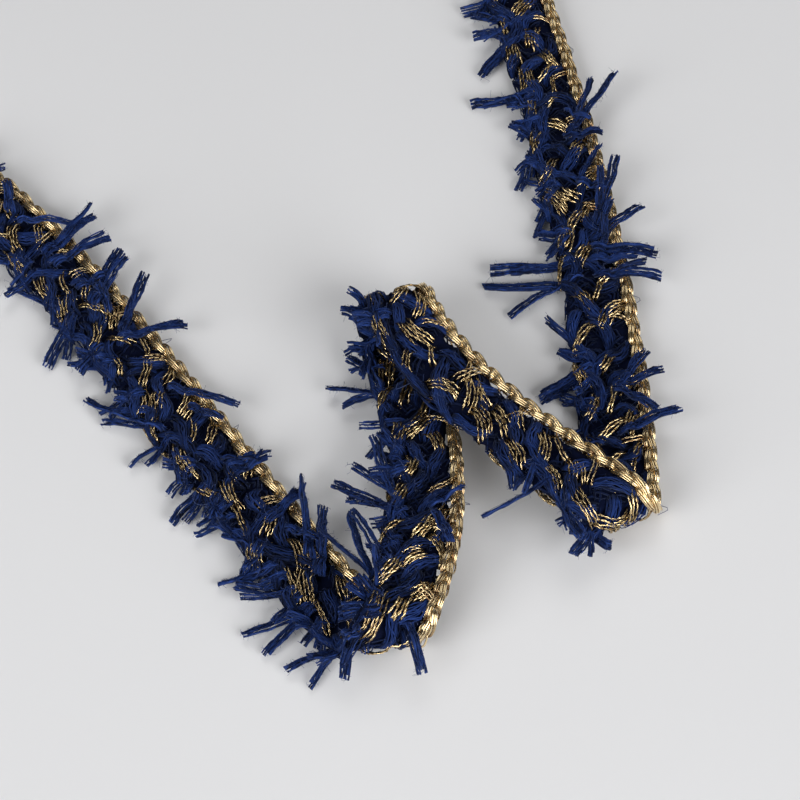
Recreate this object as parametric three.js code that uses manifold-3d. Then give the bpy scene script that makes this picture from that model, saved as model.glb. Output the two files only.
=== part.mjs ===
// Fringe trim: a navy and gold braid with a gold chain along one edge and cut locks of yarn on both sides,
// laid on the floor in a zigzag of four runs and three soft folds.
// Millimetres, +Z up, floor at z = 0. The origin is under the middle of the outline.
import * as THREE from 'three';
import { mergeVertices } from 'three/addons/utils/BufferGeometryUtils.js';
import Module from 'manifold-3d';

const wasm = await Module();
wasm.setup();

// Widths across the trim, from the gold edge to the fringe edge
const TRIM_WIDTH = 13;
const BAND_GAP = 0.4;
const CHAIN_WIDTH = 2.7;
const STRIP_WIDTH = 1.2;
const STRIP_HEIGHT = 2.2;
const CHAIN_MIDDLE = TRIM_WIDTH / 2 - CHAIN_WIDTH / 2;
const FACE_STRIP_MIDDLE = TRIM_WIDTH / 2 - CHAIN_WIDTH - BAND_GAP - STRIP_WIDTH / 2;
const FRINGE_STRIP_MIDDLE = -TRIM_WIDTH / 2 + STRIP_WIDTH / 2;
const BODY_GOLD_EDGE = FACE_STRIP_MIDDLE - STRIP_WIDTH / 2 - BAND_GAP;
const BODY_FRINGE_EDGE = FRINGE_STRIP_MIDDLE + STRIP_WIDTH / 2 + BAND_GAP;

// Braid body: lumps where the bundles cross, in a checker along and across the band
const BODY_SIDES = 10;
const BODY_HALF_HEIGHT = 2.3;
const BODY_SQUARENESS = 0.6;
const BUNDLE_PITCH = 8;
const BUNDLE_RELIEF = 0.18;
const EDGE_RELIEF = 0.08;
const RINGS_PER_BUNDLE = 4;

// Gold chain: one raised stitch every pitch, its point half a stitch ahead of its arms
const CHAIN_SIDES = 6;
const STITCH_PITCH = 4.6;
const STITCH_RELIEF = 0.34;
const RINGS_PER_STITCH = 4;

// Strips and locks have four sides. Steps along the strips, in the straight runs and in the folds
const BAR_SIDES = 4;
const STRIP_RUN_STEP = 4;
const STRIP_FOLD_STEP = 2;

// Locks of cut yarn
const LOCK_GAP = 0.3;
const FRINGE_STATIONS = [0, 0.5, 1];
const FACE_STATIONS = [0, 0.22, 0.55, 1];
const LOCK_THICKNESS_SHARE = 0.55;
const LOCK_MIN_THICKNESS = 0.7;
const LOCK_ROOT_SHARE = 0.6;
const LOCK_KEEP_SHARES = [1, 0.8, 0.6];
const LOCK_CLEAR_OF_OWN_FROM = 0.5;
const LOCK_SPACING_LEAST = 1.9;
const FRINGE_BEND_SHARE = 0.5;
const FACE_BEND_SHARE = 0.4;
const FACE_BEND_MOST = 2.6;
const FACE_ROOT_RISE = 0.6;
const FACE_ARCH = 3.6;

// Route of the middle line: where it starts, and the height at which a run lies on the floor
const ROUTE_START = { x: -89, y: 55.5 };
const LIE_HEIGHT = 1.7;
const ROUTE_STEP = 0.25;
const ORIGIN = { x: -21.8, y: 29.6 };

// Each run: its length, its heading at start, middle and end, the height of its middle line at the end,
// and the lengths along the trim at which its backing strips are parted
const RUNS = [
  { name: 'left_run', length: 134, headings: [-42, -54.5, -50], endHeight: LIE_HEIGHT, partings: [44, 87] },
  { name: 'upright_run', length: 60.5, headings: [70, 92.5, 104.5], endHeight: 3.4, partings: [178] },
  { name: 'crossing_run', length: 50.7, headings: [-69.5, -45, -40], endHeight: 9.5, partings: [248] },
  { name: 'right_run', length: 142.4, headings: [90, 98, 104.5], endHeight: LIE_HEIGHT, partings: [328, 378] },
];

// Each fold after a run: the radius of its middle line, and whether it rolls up or down
const FOLDS = [
  { radius: 3.7, lift: 1 },
  { radius: 4.6, lift: 1 },
  { radius: 3.9, lift: -1 },
];

// Long locks at the fringe edge: place along the trim, swing from straight out, reach, rise of the tip,
// and girth
const FRINGE_LOCKS = [
  { at: 41.5, swing: -65, reach: 8, rise: -1, girth: 1 },
  { at: 50, swing: 37, reach: 9, rise: -1, girth: 1.9 },
  { at: 61, swing: -33, reach: 6, rise: 0, girth: 1.6 },
  { at: 77, swing: -57, reach: 13, rise: -1, girth: 1.8 },
  { at: 82, swing: 5, reach: 7, rise: -1, girth: 1.6 },
  { at: 95, swing: 16, reach: 7.5, rise: -1, girth: 1.6 },
  { at: 114, swing: -20, reach: 8, rise: -1, girth: 1.9 },
  { at: 119.5, swing: -36, reach: 8, rise: 0, girth: 1.6 },
  { at: 125, swing: -6, reach: 10.5, rise: -1, girth: 1.8 },
  { at: 133.5, swing: 2, reach: 8.5, rise: -1, girth: 1.8 },
  { at: 138, swing: 45, reach: 5, rise: -1.5, girth: 1.6 },
  { at: 150.5, swing: -40, reach: 16, rise: -2.5, girth: 1.6 },
  { at: 156, swing: -45, reach: 11, rise: -1, girth: 1.3 },
  { at: 167, swing: -26, reach: 12.5, rise: -2.5, girth: 1.5 },
  { at: 171, swing: -61, reach: 13.5, rise: -1, girth: 1.6 },
  { at: 196, swing: -19, reach: 10, rise: -2, girth: 2.2 },
  { at: 219, swing: -70, reach: 4, rise: 1, girth: 1.3 },
  { at: 265, swing: -29, reach: 11, rise: -2.5, girth: 0.9 },
  { at: 268.5, swing: 60, reach: 9.5, rise: 0.5, girth: 1.7 },
  { at: 277, swing: 25, reach: 5, rise: -2, girth: 1.9 },
  { at: 314.5, swing: 28, reach: 8.5, rise: -1, girth: 2.2 },
  { at: 321, swing: -61, reach: 8, rise: 1, girth: 1.2 },
  { at: 336, swing: 15, reach: 14.5, rise: -1, girth: 2.1 },
  { at: 340, swing: 2, reach: 13.5, rise: 0, girth: 2.1 },
  { at: 357, swing: 61, reach: 8.5, rise: -1, girth: 1.5 },
  { at: 371, swing: 66, reach: 11, rise: -1, girth: 1.6 },
  { at: 384, swing: 4, reach: 10, rise: -1, girth: 1.9 },
  { at: 398, swing: 37, reach: 8.5, rise: -1, girth: 1.9 },
  { at: 411, swing: 20, reach: 6, rise: -1, girth: 2 },
];

// Long locks that rise from the face beside the gold chain and lean over it, in the same columns
const FACE_LOCKS = [
  { at: 25, swing: -36, reach: 9, rise: 2, girth: 1 },
  { at: 33, swing: 4, reach: 10, rise: 2.4, girth: 1.6 },
  { at: 36.5, swing: -12, reach: 8.5, rise: 2.4, girth: 1.4 },
  { at: 47, swing: 21, reach: 8.7, rise: 2.8, girth: 1.9 },
  { at: 56, swing: 40, reach: 10, rise: 3, girth: 1.6 },
  { at: 59.5, swing: -31, reach: 9.5, rise: 2, girth: 1.4 },
  { at: 75, swing: -60, reach: 11, rise: 2, girth: 1.2 },
  { at: 95.5, swing: -18, reach: 5, rise: 2.4, girth: 1.7 },
  { at: 115, swing: 62, reach: 12, rise: 3.4, girth: 1.6 },
  { at: 118.5, swing: 45, reach: 9, rise: 2.4, girth: 1.4 },
  { at: 143.5, swing: -66, reach: 6.5, rise: -2, girth: 1.5 },
  { at: 302, swing: 25, reach: 8.6, rise: 2.4, girth: 1.6 },
  { at: 311.5, swing: 17, reach: 6.2, rise: 2.4, girth: 1.3 },
  { at: 336.5, swing: -4, reach: 9, rise: 2, girth: 1.9 },
  { at: 342.5, swing: -22, reach: 9.4, rise: 2.4, girth: 1.5 },
  { at: 347, swing: 44, reach: 8.8, rise: 2.4, girth: 1.5 },
  { at: 351.5, swing: 72, reach: 12.7, rise: 3.2, girth: 1.7 },
  { at: 374, swing: 49, reach: 14.3, rise: 3, girth: 1.8 },
];

// Short locks between the long ones: spacing, and the least and most of each size
const SHORT_FRINGE = { spacing: 4.1, swing: [-70, 70], reach: [2.8, 6], rise: [-1, 1.6], girth: [1, 1.8] };
const SHORT_FACE = { spacing: 6.3, swing: [-75, 75], reach: [2.8, 5.6], rise: [1.6, 3], girth: [1, 1.7] };
const SHORT_PLACE = [0.3, 0.7];

// Stretches along each edge where no short locks stand
const FRINGE_BARE = [
  { from: 226, to: 258 },
  { from: 321, to: 333 },
  { from: 386, to: 394 },
];
const FACE_BARE = [
  { from: 60, to: 73 },
  { from: 85, to: 92 },
  { from: 98, to: 104 },
  { from: 121, to: 140 },
  { from: 149, to: 163 },
  { from: 169, to: 299 },
  { from: 316, to: 333 },
  { from: 382, to: 412 },
];

// Margin at the ends of the trim, and the fractions that spread the sizes of the short locks
const TRIM_END_MARGIN = 2;
const SPREAD = { swing: 0.618034, reach: 0.754878, rise: 0.414214, girth: 0.569840 };

const degrees = THREE.MathUtils.degToRad;
const UP = new THREE.Vector3(0, 0, 1);

// The level direction of a heading, in degrees from +X towards +Y
function level(heading) {
  return new THREE.Vector3(Math.cos(degrees(heading)), Math.sin(degrees(heading)), 0);
}

// The heading a share of the way along a run, on a parabola through its start, middle and end
function headingAt([start, middle, end], u) {
  return start * (1 - u) * (1 - 2 * u) + middle * 4 * u * (1 - u) + end * u * (2 * u - 1);
}

// A frame of the route: its place, the way along it, the way across to the gold edge, and its face
function routeFrame(s, point, along, across) {
  const face = new THREE.Vector3().crossVectors(along, across);
  return { s, point: point.clone(), along, across, face };
}

// Adds a run's frames to the route and moves the point to its end
function traceRun(frames, run, point, s, side) {
  const steps = Math.round(run.length / ROUTE_STEP);
  const startHeight = point.z;
  for (let i = 0; i <= steps; i += 1) {
    const u = i / steps;
    if (i > 0) {
      point.addScaledVector(level(headingAt(run.headings, u - 0.5 / steps)), run.length / steps);
    }
    point.z = THREE.MathUtils.lerp(startHeight, run.endHeight, THREE.MathUtils.smoothstep(u, 0, 1));
    const along = level(headingAt(run.headings, u));
    const across = new THREE.Vector3().crossVectors(UP, along).multiplyScalar(side);
    frames.push(routeFrame(s + run.length * u, point, along, across));
  }
}

// Adds a fold's frames: the band rolls half a turn round a level axis that halves the two headings
function traceFold(frames, fold, headingIn, headingOut, point, s, side) {
  const into = level(headingIn);
  const acrossIn = new THREE.Vector3().crossVectors(UP, into).multiplyScalar(side);
  const axis = into.clone().add(level(headingOut)).normalize();
  axis.multiplyScalar(Math.sign(axis.dot(acrossIn)));
  const slip = into.dot(axis);
  const outward = into.clone().addScaledVector(axis, -slip);
  const turn = outward.length();
  outward.normalize();
  const length = (Math.PI * fold.radius) / turn;
  const steps = Math.round(length / ROUTE_STEP);
  const entry = point.clone();
  const acrossAxis = acrossIn.dot(axis);
  const acrossOut = acrossIn.dot(outward);
  for (let i = 1; i <= steps; i += 1) {
    const angle = (Math.PI * i) / steps;
    const roll = outward.clone().multiplyScalar(Math.cos(angle));
    roll.addScaledVector(UP, fold.lift * Math.sin(angle));
    point.copy(entry).addScaledVector(axis, (slip / turn) * fold.radius * angle);
    point.addScaledVector(outward, fold.radius * Math.sin(angle));
    point.addScaledVector(UP, fold.lift * fold.radius * (1 - Math.cos(angle)));
    if (i < steps) {
      const along = axis.clone().multiplyScalar(slip).addScaledVector(roll, turn);
      const across = axis.clone().multiplyScalar(acrossAxis).addScaledVector(roll, acrossOut);
      frames.push(routeFrame(s + (length * i) / steps, point, along, across));
    }
  }
  return length;
}

// The whole route, and the stretch of it that each run and fold takes
function traceRoute() {
  const frames = [];
  const stretches = [];
  const point = new THREE.Vector3(ROUTE_START.x - ORIGIN.x, ROUTE_START.y - ORIGIN.y, LIE_HEIGHT);
  let s = 0;
  let side = 1;
  RUNS.forEach((run, i) => {
    traceRun(frames, run, point, s, side);
    stretches.push({ run, from: s, to: s + run.length });
    s += run.length;
    if (i < FOLDS.length) {
      const length = traceFold(frames, FOLDS[i], run.headings[2], RUNS[i + 1].headings[0], point, s, side);
      stretches.push({ from: s, to: s + length });
      s += length;
      side = -side;
    }
  });
  return { frames, stretches, length: s };
}

const route = traceRoute();

// The frame at a length along the trim, between the two nearest traced ones
function frameAt(s) {
  const after = route.frames.findIndex((frame) => frame.s >= s);
  const index = after < 0 ? route.frames.length - 1 : Math.max(after, 1);
  const a = route.frames[index - 1];
  const b = route.frames[index];
  const u = (s - a.s) / (b.s - a.s);
  const mixed = (key) => a[key].clone().lerp(b[key], u);
  return {
    point: mixed('point'),
    along: mixed('along').normalize(),
    across: mixed('across').normalize(),
    face: mixed('face').normalize(),
  };
}

// The point at a length along the trim, an offset across it and an offset towards its face
function trimPoint(s, across, face, target = new THREE.Vector3()) {
  const frame = frameAt(s);
  return target.copy(frame.point).addScaledVector(frame.across, across).addScaledVector(frame.face, face);
}

// Even stations from one length to another, about one step apart
function stationsBetween(from, to, step) {
  const count = Math.max(1, Math.round((to - from) / step));
  return Array.from({ length: count + 1 }, (_, i) => THREE.MathUtils.lerp(from, to, i / count));
}

// A closed tube of rings through the stations. place(station, angle, share, point) sets each ring point;
// share is 0 at the middle of an end face. Nothing reaches below the floor.
function ringSolid(sides, stations, place, firstAngle = 0) {
  const last = stations.length - 1;
  const tube = new THREE.CylinderGeometry(1, 1, 1, sides, last);
  const points = tube.attributes.position;
  const point = new THREE.Vector3();
  for (let i = 0; i < points.count; i += 1) {
    point.fromBufferAttribute(points, i);
    const station = stations[Math.round((point.y + 0.5) * last)];
    const share = Math.round(Math.hypot(point.x, point.z));
    place(station, Math.atan2(point.z, point.x) + firstAngle, share, point);
    points.setXYZ(i, point.x, point.y, Math.max(point.z, 0));
  }
  tube.deleteAttribute('normal');
  tube.deleteAttribute('uv');
  return outwardFaces(mergeVertices(tube));
}

// The same closed geometry with its faces turned outwards
function outwardFaces(geometry) {
  const points = geometry.attributes.position;
  const index = geometry.index.array;
  const corner = [new THREE.Vector3(), new THREE.Vector3(), new THREE.Vector3()];
  let volume = 0;
  for (let i = 0; i < index.length; i += 3) {
    corner.forEach((c, k) => c.fromBufferAttribute(points, index[i + k]));
    volume += corner[0].dot(corner[1].cross(corner[2]));
  }
  if (volume < 0) {
    for (let i = 0; i < index.length; i += 3) {
      [index[i], index[i + 1]] = [index[i + 1], index[i]];
    }
  }
  return geometry;
}

// A power of a number that keeps its sign, for sections between an oval and a rectangle
function signedPower(value, power) {
  return Math.sign(value) * Math.abs(value) ** power;
}

// Braid body: one continuous band with lumps where the bundles cross
function makeBraidBody() {
  const middle = (BODY_GOLD_EDGE + BODY_FRINGE_EDGE) / 2;
  const halfWidth = (BODY_GOLD_EDGE - BODY_FRINGE_EDGE) / 2;
  const place = (s, angle, share, point) => {
    const wave = Math.cos((2 * Math.PI * s) / BUNDLE_PITCH);
    const width = halfWidth * (1 - EDGE_RELIEF * (1 + wave));
    const offset = width * signedPower(Math.cos(angle), BODY_SQUARENESS);
    const checker = wave * Math.cos((Math.PI * offset) / halfWidth);
    const height = BODY_HALF_HEIGHT * (1 + BUNDLE_RELIEF * checker);
    const rise = height * signedPower(Math.sin(angle), BODY_SQUARENESS);
    trimPoint(s, middle + share * offset, share * rise, point);
  };
  const stations = stationsBetween(0, route.length, BUNDLE_PITCH / RINGS_PER_BUNDLE);
  return ringSolid(BODY_SIDES, stations, place, Math.PI / BODY_SIDES);
}

// Gold chain: one continuous cord with a raised arrow-shaped stitch every pitch
function makeHeadingChain() {
  const place = (s, angle, share, point) => {
    const ahead = 1 - Math.abs(Math.cos(angle));
    const wave = Math.cos(2 * Math.PI * (s / STITCH_PITCH - ahead / 2));
    const radius = share * (CHAIN_WIDTH / 2) * (1 - STITCH_RELIEF * (0.5 - wave / 2));
    trimPoint(s, CHAIN_MIDDLE + radius * Math.cos(angle), radius * Math.sin(angle), point);
  };
  const stations = stationsBetween(0, route.length, STITCH_PITCH / RINGS_PER_STITCH);
  return ringSolid(CHAIN_SIDES, stations, place, Math.PI / 2);
}

// Stations of a backing strip: close together in the folds, further apart in the runs
function stripStations(from, to) {
  const stations = [from];
  for (const stretch of route.stretches) {
    const start = Math.max(from, stretch.from);
    const end = Math.min(to, stretch.to);
    if (end > start) {
      const step = stretch.run ? STRIP_RUN_STEP : STRIP_FOLD_STEP;
      stations.push(...stationsBetween(start, end, step).slice(1));
    }
  }
  return stations;
}

// Backing strip: a narrow bar that follows the trim at an offset across it
function makeStrip(from, to, offset) {
  const place = (s, angle, share, point) => {
    const across = share * Math.sign(Math.cos(angle)) * (STRIP_WIDTH / 2);
    const face = share * Math.sign(Math.sin(angle)) * (STRIP_HEIGHT / 2);
    trimPoint(s, offset + across, face, point);
  };
  return ringSolid(BAR_SIDES, stripStations(from, to), place, Math.PI / BAR_SIDES);
}

// The bent line of a lock: out from its strip, with the tip at its own height
function lockLine(lock, strip, keep) {
  const frame = frameAt(lock.at);
  const upward = frame.face.z < 0 ? -1 : 1;
  const rootRise = strip.overFace ? FACE_ROOT_RISE : 0;
  const root = trimPoint(lock.at, strip.offset, upward * rootRise);
  const out = frame.across.clone().setZ(0).normalize().multiplyScalar(Math.sign(strip.offset));
  out.applyAxisAngle(UP, degrees(lock.swing));
  const thickness = lockThickness(lock);
  const tip = root.clone().addScaledVector(out, lock.reach * keep);
  tip.z = Math.max(root.z + lock.rise, thickness / 2);
  const bend = root.clone();
  if (strip.overFace) {
    bend.addScaledVector(out, Math.min(FACE_BEND_MOST, lock.reach * keep * FACE_BEND_SHARE));
    bend.z = root.z + FACE_ARCH;
  } else {
    bend.addScaledVector(out, lock.reach * keep * FRINGE_BEND_SHARE);
    bend.z = Math.max(tip.z, root.z + lock.rise / 2);
  }
  return new THREE.QuadraticBezierCurve3(root, bend, tip);
}

// How thick a lock of a given girth is
function lockThickness(lock) {
  return Math.max(LOCK_MIN_THICKNESS, lock.girth * LOCK_THICKNESS_SHARE);
}

// Lock: a flat four-sided bundle along its line from a share of it, narrow at the root,
// grown all round by a margin
function makeLock(lock, strip, line, from, margin) {
  const stations = strip.lockStations.map((station) => from + station * (1 - from));
  const place = (t, angle, share, point) => {
    const along = line.getTangent(t);
    const sideways = new THREE.Vector3().crossVectors(along, UP).normalize();
    const upward = new THREE.Vector3().crossVectors(sideways, along);
    const swell = Math.min(1, LOCK_ROOT_SHARE + 2 * t * (1 - LOCK_ROOT_SHARE));
    const halfWidth = (swell * lock.girth) / 2 + margin;
    const halfHeight = (swell * lockThickness(lock)) / 2 + margin;
    line.getPoint(t, point);
    point.addScaledVector(along, t === 1 ? margin : 0);
    point.addScaledVector(sideways, share * Math.sign(Math.cos(angle)) * halfWidth);
    point.addScaledVector(upward, share * Math.sign(Math.sin(angle)) * halfHeight);
  };
  return toSolid(ringSolid(BAR_SIDES, stations, place, Math.PI / BAR_SIDES));
}

// Short locks for one edge, spread evenly by fixed fractions, clear of the long ones and the bare stretches
function shortLocks({ short: sizes, long: longLocks, bare }) {
  const count = Math.floor((route.length - 2 * TRIM_END_MARGIN) / sizes.spacing);
  const share = (i, key) => ((i + 1) * SPREAD[key]) % 1;
  const between = (i, key) => THREE.MathUtils.lerp(...sizes[key], share(i, key));
  const spread = Array.from({ length: count }, (_, i) => ({
    at: TRIM_END_MARGIN + (i + THREE.MathUtils.lerp(...SHORT_PLACE, share(i, 'girth'))) * sizes.spacing,
    swing: between(i, 'swing'),
    reach: between(i, 'reach'),
    rise: between(i, 'rise'),
    girth: between(i, 'girth'),
  }));
  const clear = spread.filter((lock) => !bare.some(({ from, to }) => lock.at > from && lock.at < to));
  return clear.filter((lock) => longLocks.every((long) => Math.abs(long.at - lock.at) > LOCK_SPACING_LEAST));
}

// A closed geometry as a solid that can be joined
function toSolid(geometry) {
  return new wasm.Manifold(new wasm.Mesh({
    numProp: 3,
    vertProperties: Float32Array.from(geometry.attributes.position.array),
    triVerts: Uint32Array.from(geometry.index.array),
  }));
}

// A joined solid as a geometry
function toGeometry(solid) {
  const mesh = solid.getMesh();
  const geometry = new THREE.BufferGeometry();
  geometry.setAttribute('position', new THREE.BufferAttribute(mesh.vertProperties, 3));
  geometry.setIndex(new THREE.BufferAttribute(mesh.triVerts, 1));
  return geometry;
}

// True where two solids have no space in common
function apart(a, b) {
  return a.intersect(b).isEmpty();
}

// The two edges with locks: beside the body's fringe edge, and between the body and the gold chain
const LOCK_EDGES = [
  {
    prefix: 'fringe',
    offset: FRINGE_STRIP_MIDDLE,
    overFace: false,
    lockStations: FRINGE_STATIONS,
    long: FRINGE_LOCKS,
    short: SHORT_FRINGE,
    bare: FRINGE_BARE,
  },
  {
    prefix: 'face_tufts',
    offset: FACE_STRIP_MIDDLE,
    overFace: true,
    lockStations: FACE_STATIONS,
    long: FACE_LOCKS,
    short: SHORT_FACE,
    bare: FACE_BARE,
  },
];

// Where the strips of a run begin and end: with half of the folds beside it, and parted along it
function stripSpans() {
  const spans = [];
  const folds = route.stretches.filter((stretch) => !stretch.run);
  const middles = folds.map((fold) => (fold.from + fold.to) / 2);
  RUNS.forEach((run, i) => {
    const ends = [middles[i - 1] ?? 0, ...run.partings, middles[i] ?? route.length];
    run.partings.concat(ends[ends.length - 1]).forEach((to, k) => {
      spans.push({ name: `${run.name}_${k + 1}`, from: ends[k], to });
    });
  });
  return spans;
}

// Strips for both edges, a gap apart
function layStrips() {
  return LOCK_EDGES.flatMap((edge) => stripSpans().map((span) => {
    const from = span.from + (span.from > 0 ? BAND_GAP / 2 : 0);
    const to = span.to - (span.to < route.length ? BAND_GAP / 2 : 0);
    const locks = [...edge.long, ...shortLocks(edge)].filter(
      (lock) => lock.at > from + LOCK_SPACING_LEAST / 2 && lock.at < to - LOCK_SPACING_LEAST / 2,
    );
    const solid = toSolid(makeStrip(from, to, edge.offset));
    return { ...edge, name: `${edge.prefix}_${span.name}`, locks, solid };
  }));
}

// Joins each strip's locks to it. A lock that would meet another piece is made shorter, or left out.
function growLocks(strips, standing) {
  for (const strip of strips) {
    const others = [...standing, ...strips.filter((other) => other !== strip).map((other) => other.solid)];
    for (const lock of strip.locks) {
      for (const keep of LOCK_KEEP_SHARES) {
        const line = lockLine(lock, strip, keep);
        const grown = makeLock(lock, strip, line, 0, LOCK_GAP);
        const grownTip = makeLock(lock, strip, line, LOCK_CLEAR_OF_OWN_FROM, LOCK_GAP);
        if (others.every((other) => apart(grown, other)) && apart(grownTip, strip.solid)) {
          strip.solid = strip.solid.add(makeLock(lock, strip, line, 0, 0));
          break;
        }
      }
    }
  }
}

const NAVY = { color: 0x1b2c66, roughness: 0.9, metalness: 0 };
const GOLD = { color: 0xc9a35c, roughness: 0.35, metalness: 0.9 };

// A named mesh with a material of its own
function namedMesh(name, geometry, finish) {
  const mesh = new THREE.Mesh(geometry, new THREE.MeshStandardMaterial(finish));
  mesh.name = name;
  return mesh;
}

const bodyGeometry = makeBraidBody();
const chainGeometry = makeHeadingChain();
const strips = layStrips();
growLocks(strips, [toSolid(bodyGeometry), toSolid(chainGeometry)]);

const trim = new THREE.Group();
trim.name = 'fringe_trim';
trim.add(namedMesh('braid_body', bodyGeometry, NAVY));
trim.add(namedMesh('heading_chain', chainGeometry, GOLD));
strips.forEach((strip) => trim.add(namedMesh(strip.name, toGeometry(strip.solid), NAVY)));

export default trim;
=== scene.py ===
"""Fringe trim: a navy and gold braid with a gold chain edge and cut yarn locks, laid in a zigzag.

Sizes are in millimetres, as in the part's source, and become metres where a mesh is written.
A span holds the least and the most of a size, mostly for a draw by chance. Tones run from 0 to 1,
dark to light, and a tone past its limits is clipped.
"""
import logging
import math
from dataclasses import dataclass, field, replace
from enum import Enum
from itertools import chain

import bmesh
import bpy
import numpy as np
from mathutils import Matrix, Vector


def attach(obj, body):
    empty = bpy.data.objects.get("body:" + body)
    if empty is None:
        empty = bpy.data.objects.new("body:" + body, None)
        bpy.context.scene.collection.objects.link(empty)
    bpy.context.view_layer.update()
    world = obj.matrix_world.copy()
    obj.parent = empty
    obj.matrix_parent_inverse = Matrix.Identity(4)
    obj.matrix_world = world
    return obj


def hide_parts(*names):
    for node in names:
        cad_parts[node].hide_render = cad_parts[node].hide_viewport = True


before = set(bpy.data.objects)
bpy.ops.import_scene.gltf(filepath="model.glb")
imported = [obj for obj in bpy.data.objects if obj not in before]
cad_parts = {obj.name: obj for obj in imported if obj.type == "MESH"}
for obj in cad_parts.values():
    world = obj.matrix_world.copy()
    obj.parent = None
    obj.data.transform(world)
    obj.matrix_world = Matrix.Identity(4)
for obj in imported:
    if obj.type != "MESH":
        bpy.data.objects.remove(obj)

log = logging.getLogger("fringe_trim")

Array = np.ndarray
Chance = np.random.Generator
Colour = tuple[float, float, float]
Place = tuple[float, float, float]
Span = tuple[float, float]
Wire = tuple[bpy.types.Node, str | int, bpy.types.Node, str | int]

MM = 0.001
TINY = 1e-9
FULL_TURN = 2.0 * math.pi
SEED = 20417
BODY = "root"
MAP_NAME = "OFBake"

# Directions. A strand that may stand upright is turned to the one that is a little off.
UP = np.array([0.0, 0.0, 1.0])
NEAR_UP = UP + 0.01
SIGNS = (-1.0, 1.0)

# Uneven waves and smooth lines.
OCTAVES = (1.0, 1.73, 2.9)
OCTAVE_DRIFT = (0.85, 1.15)
CURVE_SHARES = np.linspace(0.0, 1.0, 9)[:, None]
LEAST_SAMPLES = 3

# Map of a yarn: its tone across, and the light and dark of its twist upwards.
TONE_LIMITS = (0.02, 0.98)
TWIST_LOW = 0.1
TWIST_STEP = 0.8

# Clear height of a strand over the floor.
FLOOR_GAP = 0.02


class Slot(Enum):
    """Material slots of the part's record."""

    NAVY = "navy_yarn"
    GOLD = "gold_yarn"


class Edge(Enum):
    """The two edges of the braid that carry cut locks, by the offset of their roots across the trim."""

    FRINGE = -5.9
    FACE = 2.8


class Face(Enum):
    """The two faces of the braid, by the sign of their way out."""

    FRONT = 1.0
    BACK = -1.0


class Layer(Enum):
    """Layers of yarn that have a chance of their own, by their steps from the seed."""

    GROUND = 0
    INNER_BUNDLES = 1
    LOOP_WAYS = 3
    LOOP_STRANDS = 5
    GOLD_GROUPS = 7
    CHAIN = 11
    TIES = 13
    LOCKS = 15
    HAZE = 19

    def chance(self, second: bool = False) -> Chance:
        """Seeded source of chance, one step further for the second face or edge."""
        return np.random.default_rng(SEED + self.value + int(second))


@dataclass(frozen=True)
class Wave:
    """A smooth uneven wave, as hand-worked yarn shows: distance between crests, and largest height."""

    pitch: float
    amount: float

    def over(self, rng: Chance, places: Array) -> Array:
        """Draws one wave.

        Args:
            rng: seeded source of chance.
            places: lengths along the yarn.

        Returns:
            One height for each place.
        """
        total = np.zeros_like(places)
        for octave in OCTAVES:
            rate = FULL_TURN * octave * rng.uniform(*OCTAVE_DRIFT) / self.pitch
            total += np.sin(rate * places + rng.uniform(0.0, FULL_TURN)) / octave
        return self.amount * total / sum(1.0 / octave for octave in OCTAVES)


def unit(vectors: Array) -> Array:
    """Rows scaled to a length of one."""
    return vectors / np.maximum(np.linalg.norm(vectors, axis=-1, keepdims=True), TINY)


def level(heading: float) -> Array:
    """Level direction of a heading in degrees, from +X towards +Y."""
    return np.array([math.cos(math.radians(heading)), math.sin(math.radians(heading)), 0.0])


def turned(way: Array, degrees: float) -> Array:
    """A level direction turned about the vertical.

    Args:
        way: the direction.
        degrees: angle of the turn, from +X towards +Y.

    Returns:
        The turned direction.
    """
    along, aside, _ = level(degrees)
    return np.array([way[0] * along - way[1] * aside, way[0] * aside + way[1] * along, 0.0])


def either_way(rng: Chance, most: float) -> float:
    """A value by chance between the two signs of a size."""
    return rng.uniform(-most, most)


def either_sign(rng: Chance, span: Span) -> float:
    """A value of a span by chance, with either sign."""
    return rng.choice(SIGNS) * rng.uniform(*span)


def from_middle(index: int, count: int) -> float:
    """Steps of one of several things in a row from the middle of the row."""
    return index - (count - 1) / 2


def fan_angle(degrees: float, index: int, count: int) -> float:
    """Angle in radians of one of several strands that share a fan of some degrees."""
    return math.radians(degrees * (index / (count - 1) - 0.5))


def pick_evenly(rows: Array, count: int) -> Array:
    """Some of the rows, evenly from the first to the last."""
    return rows[np.linspace(0, len(rows) - 1, count).astype(int)]


def lengths_of(points: Array) -> Array:
    """Lengths along a line of points, from its start."""
    return np.concatenate([[0.0], np.cumsum(np.linalg.norm(np.diff(points, axis=0), axis=1))])


def resample(points: Array, step: float) -> Array:
    """Even samples along a line of points.

    Args:
        points: points along the line.
        step: distance between the new samples.

    Returns:
        New points, with both ends kept.
    """
    lengths = lengths_of(points)
    count = max(LEAST_SAMPLES, int(round(lengths[-1] / step)) + 1)
    wanted = np.linspace(0.0, lengths[-1], count)
    return np.stack([np.interp(wanted, lengths, column) for column in points.T], axis=1)


def smooth_line(corners: Array, step: float) -> Array:
    """A smooth line through a few corners, sampled evenly.

    Args:
        corners: points that the line passes.
        step: distance between samples.

    Returns:
        Points along the line.
    """
    padded = np.vstack([2 * corners[0] - corners[1], corners, 2 * corners[-1] - corners[-2]])
    fine = []
    for a, b, c, d in zip(padded[:-3], padded[1:-2], padded[2:-1], padded[3:]):
        bend = 2 * b + (c - a) * CURVE_SHARES + (2 * a - 5 * b + 4 * c - d) * CURVE_SHARES**2
        fine.append(0.5 * (bend + (3 * b - a - 3 * c + d) * CURVE_SHARES**3))
    return resample(np.vstack(fine), step)


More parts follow.
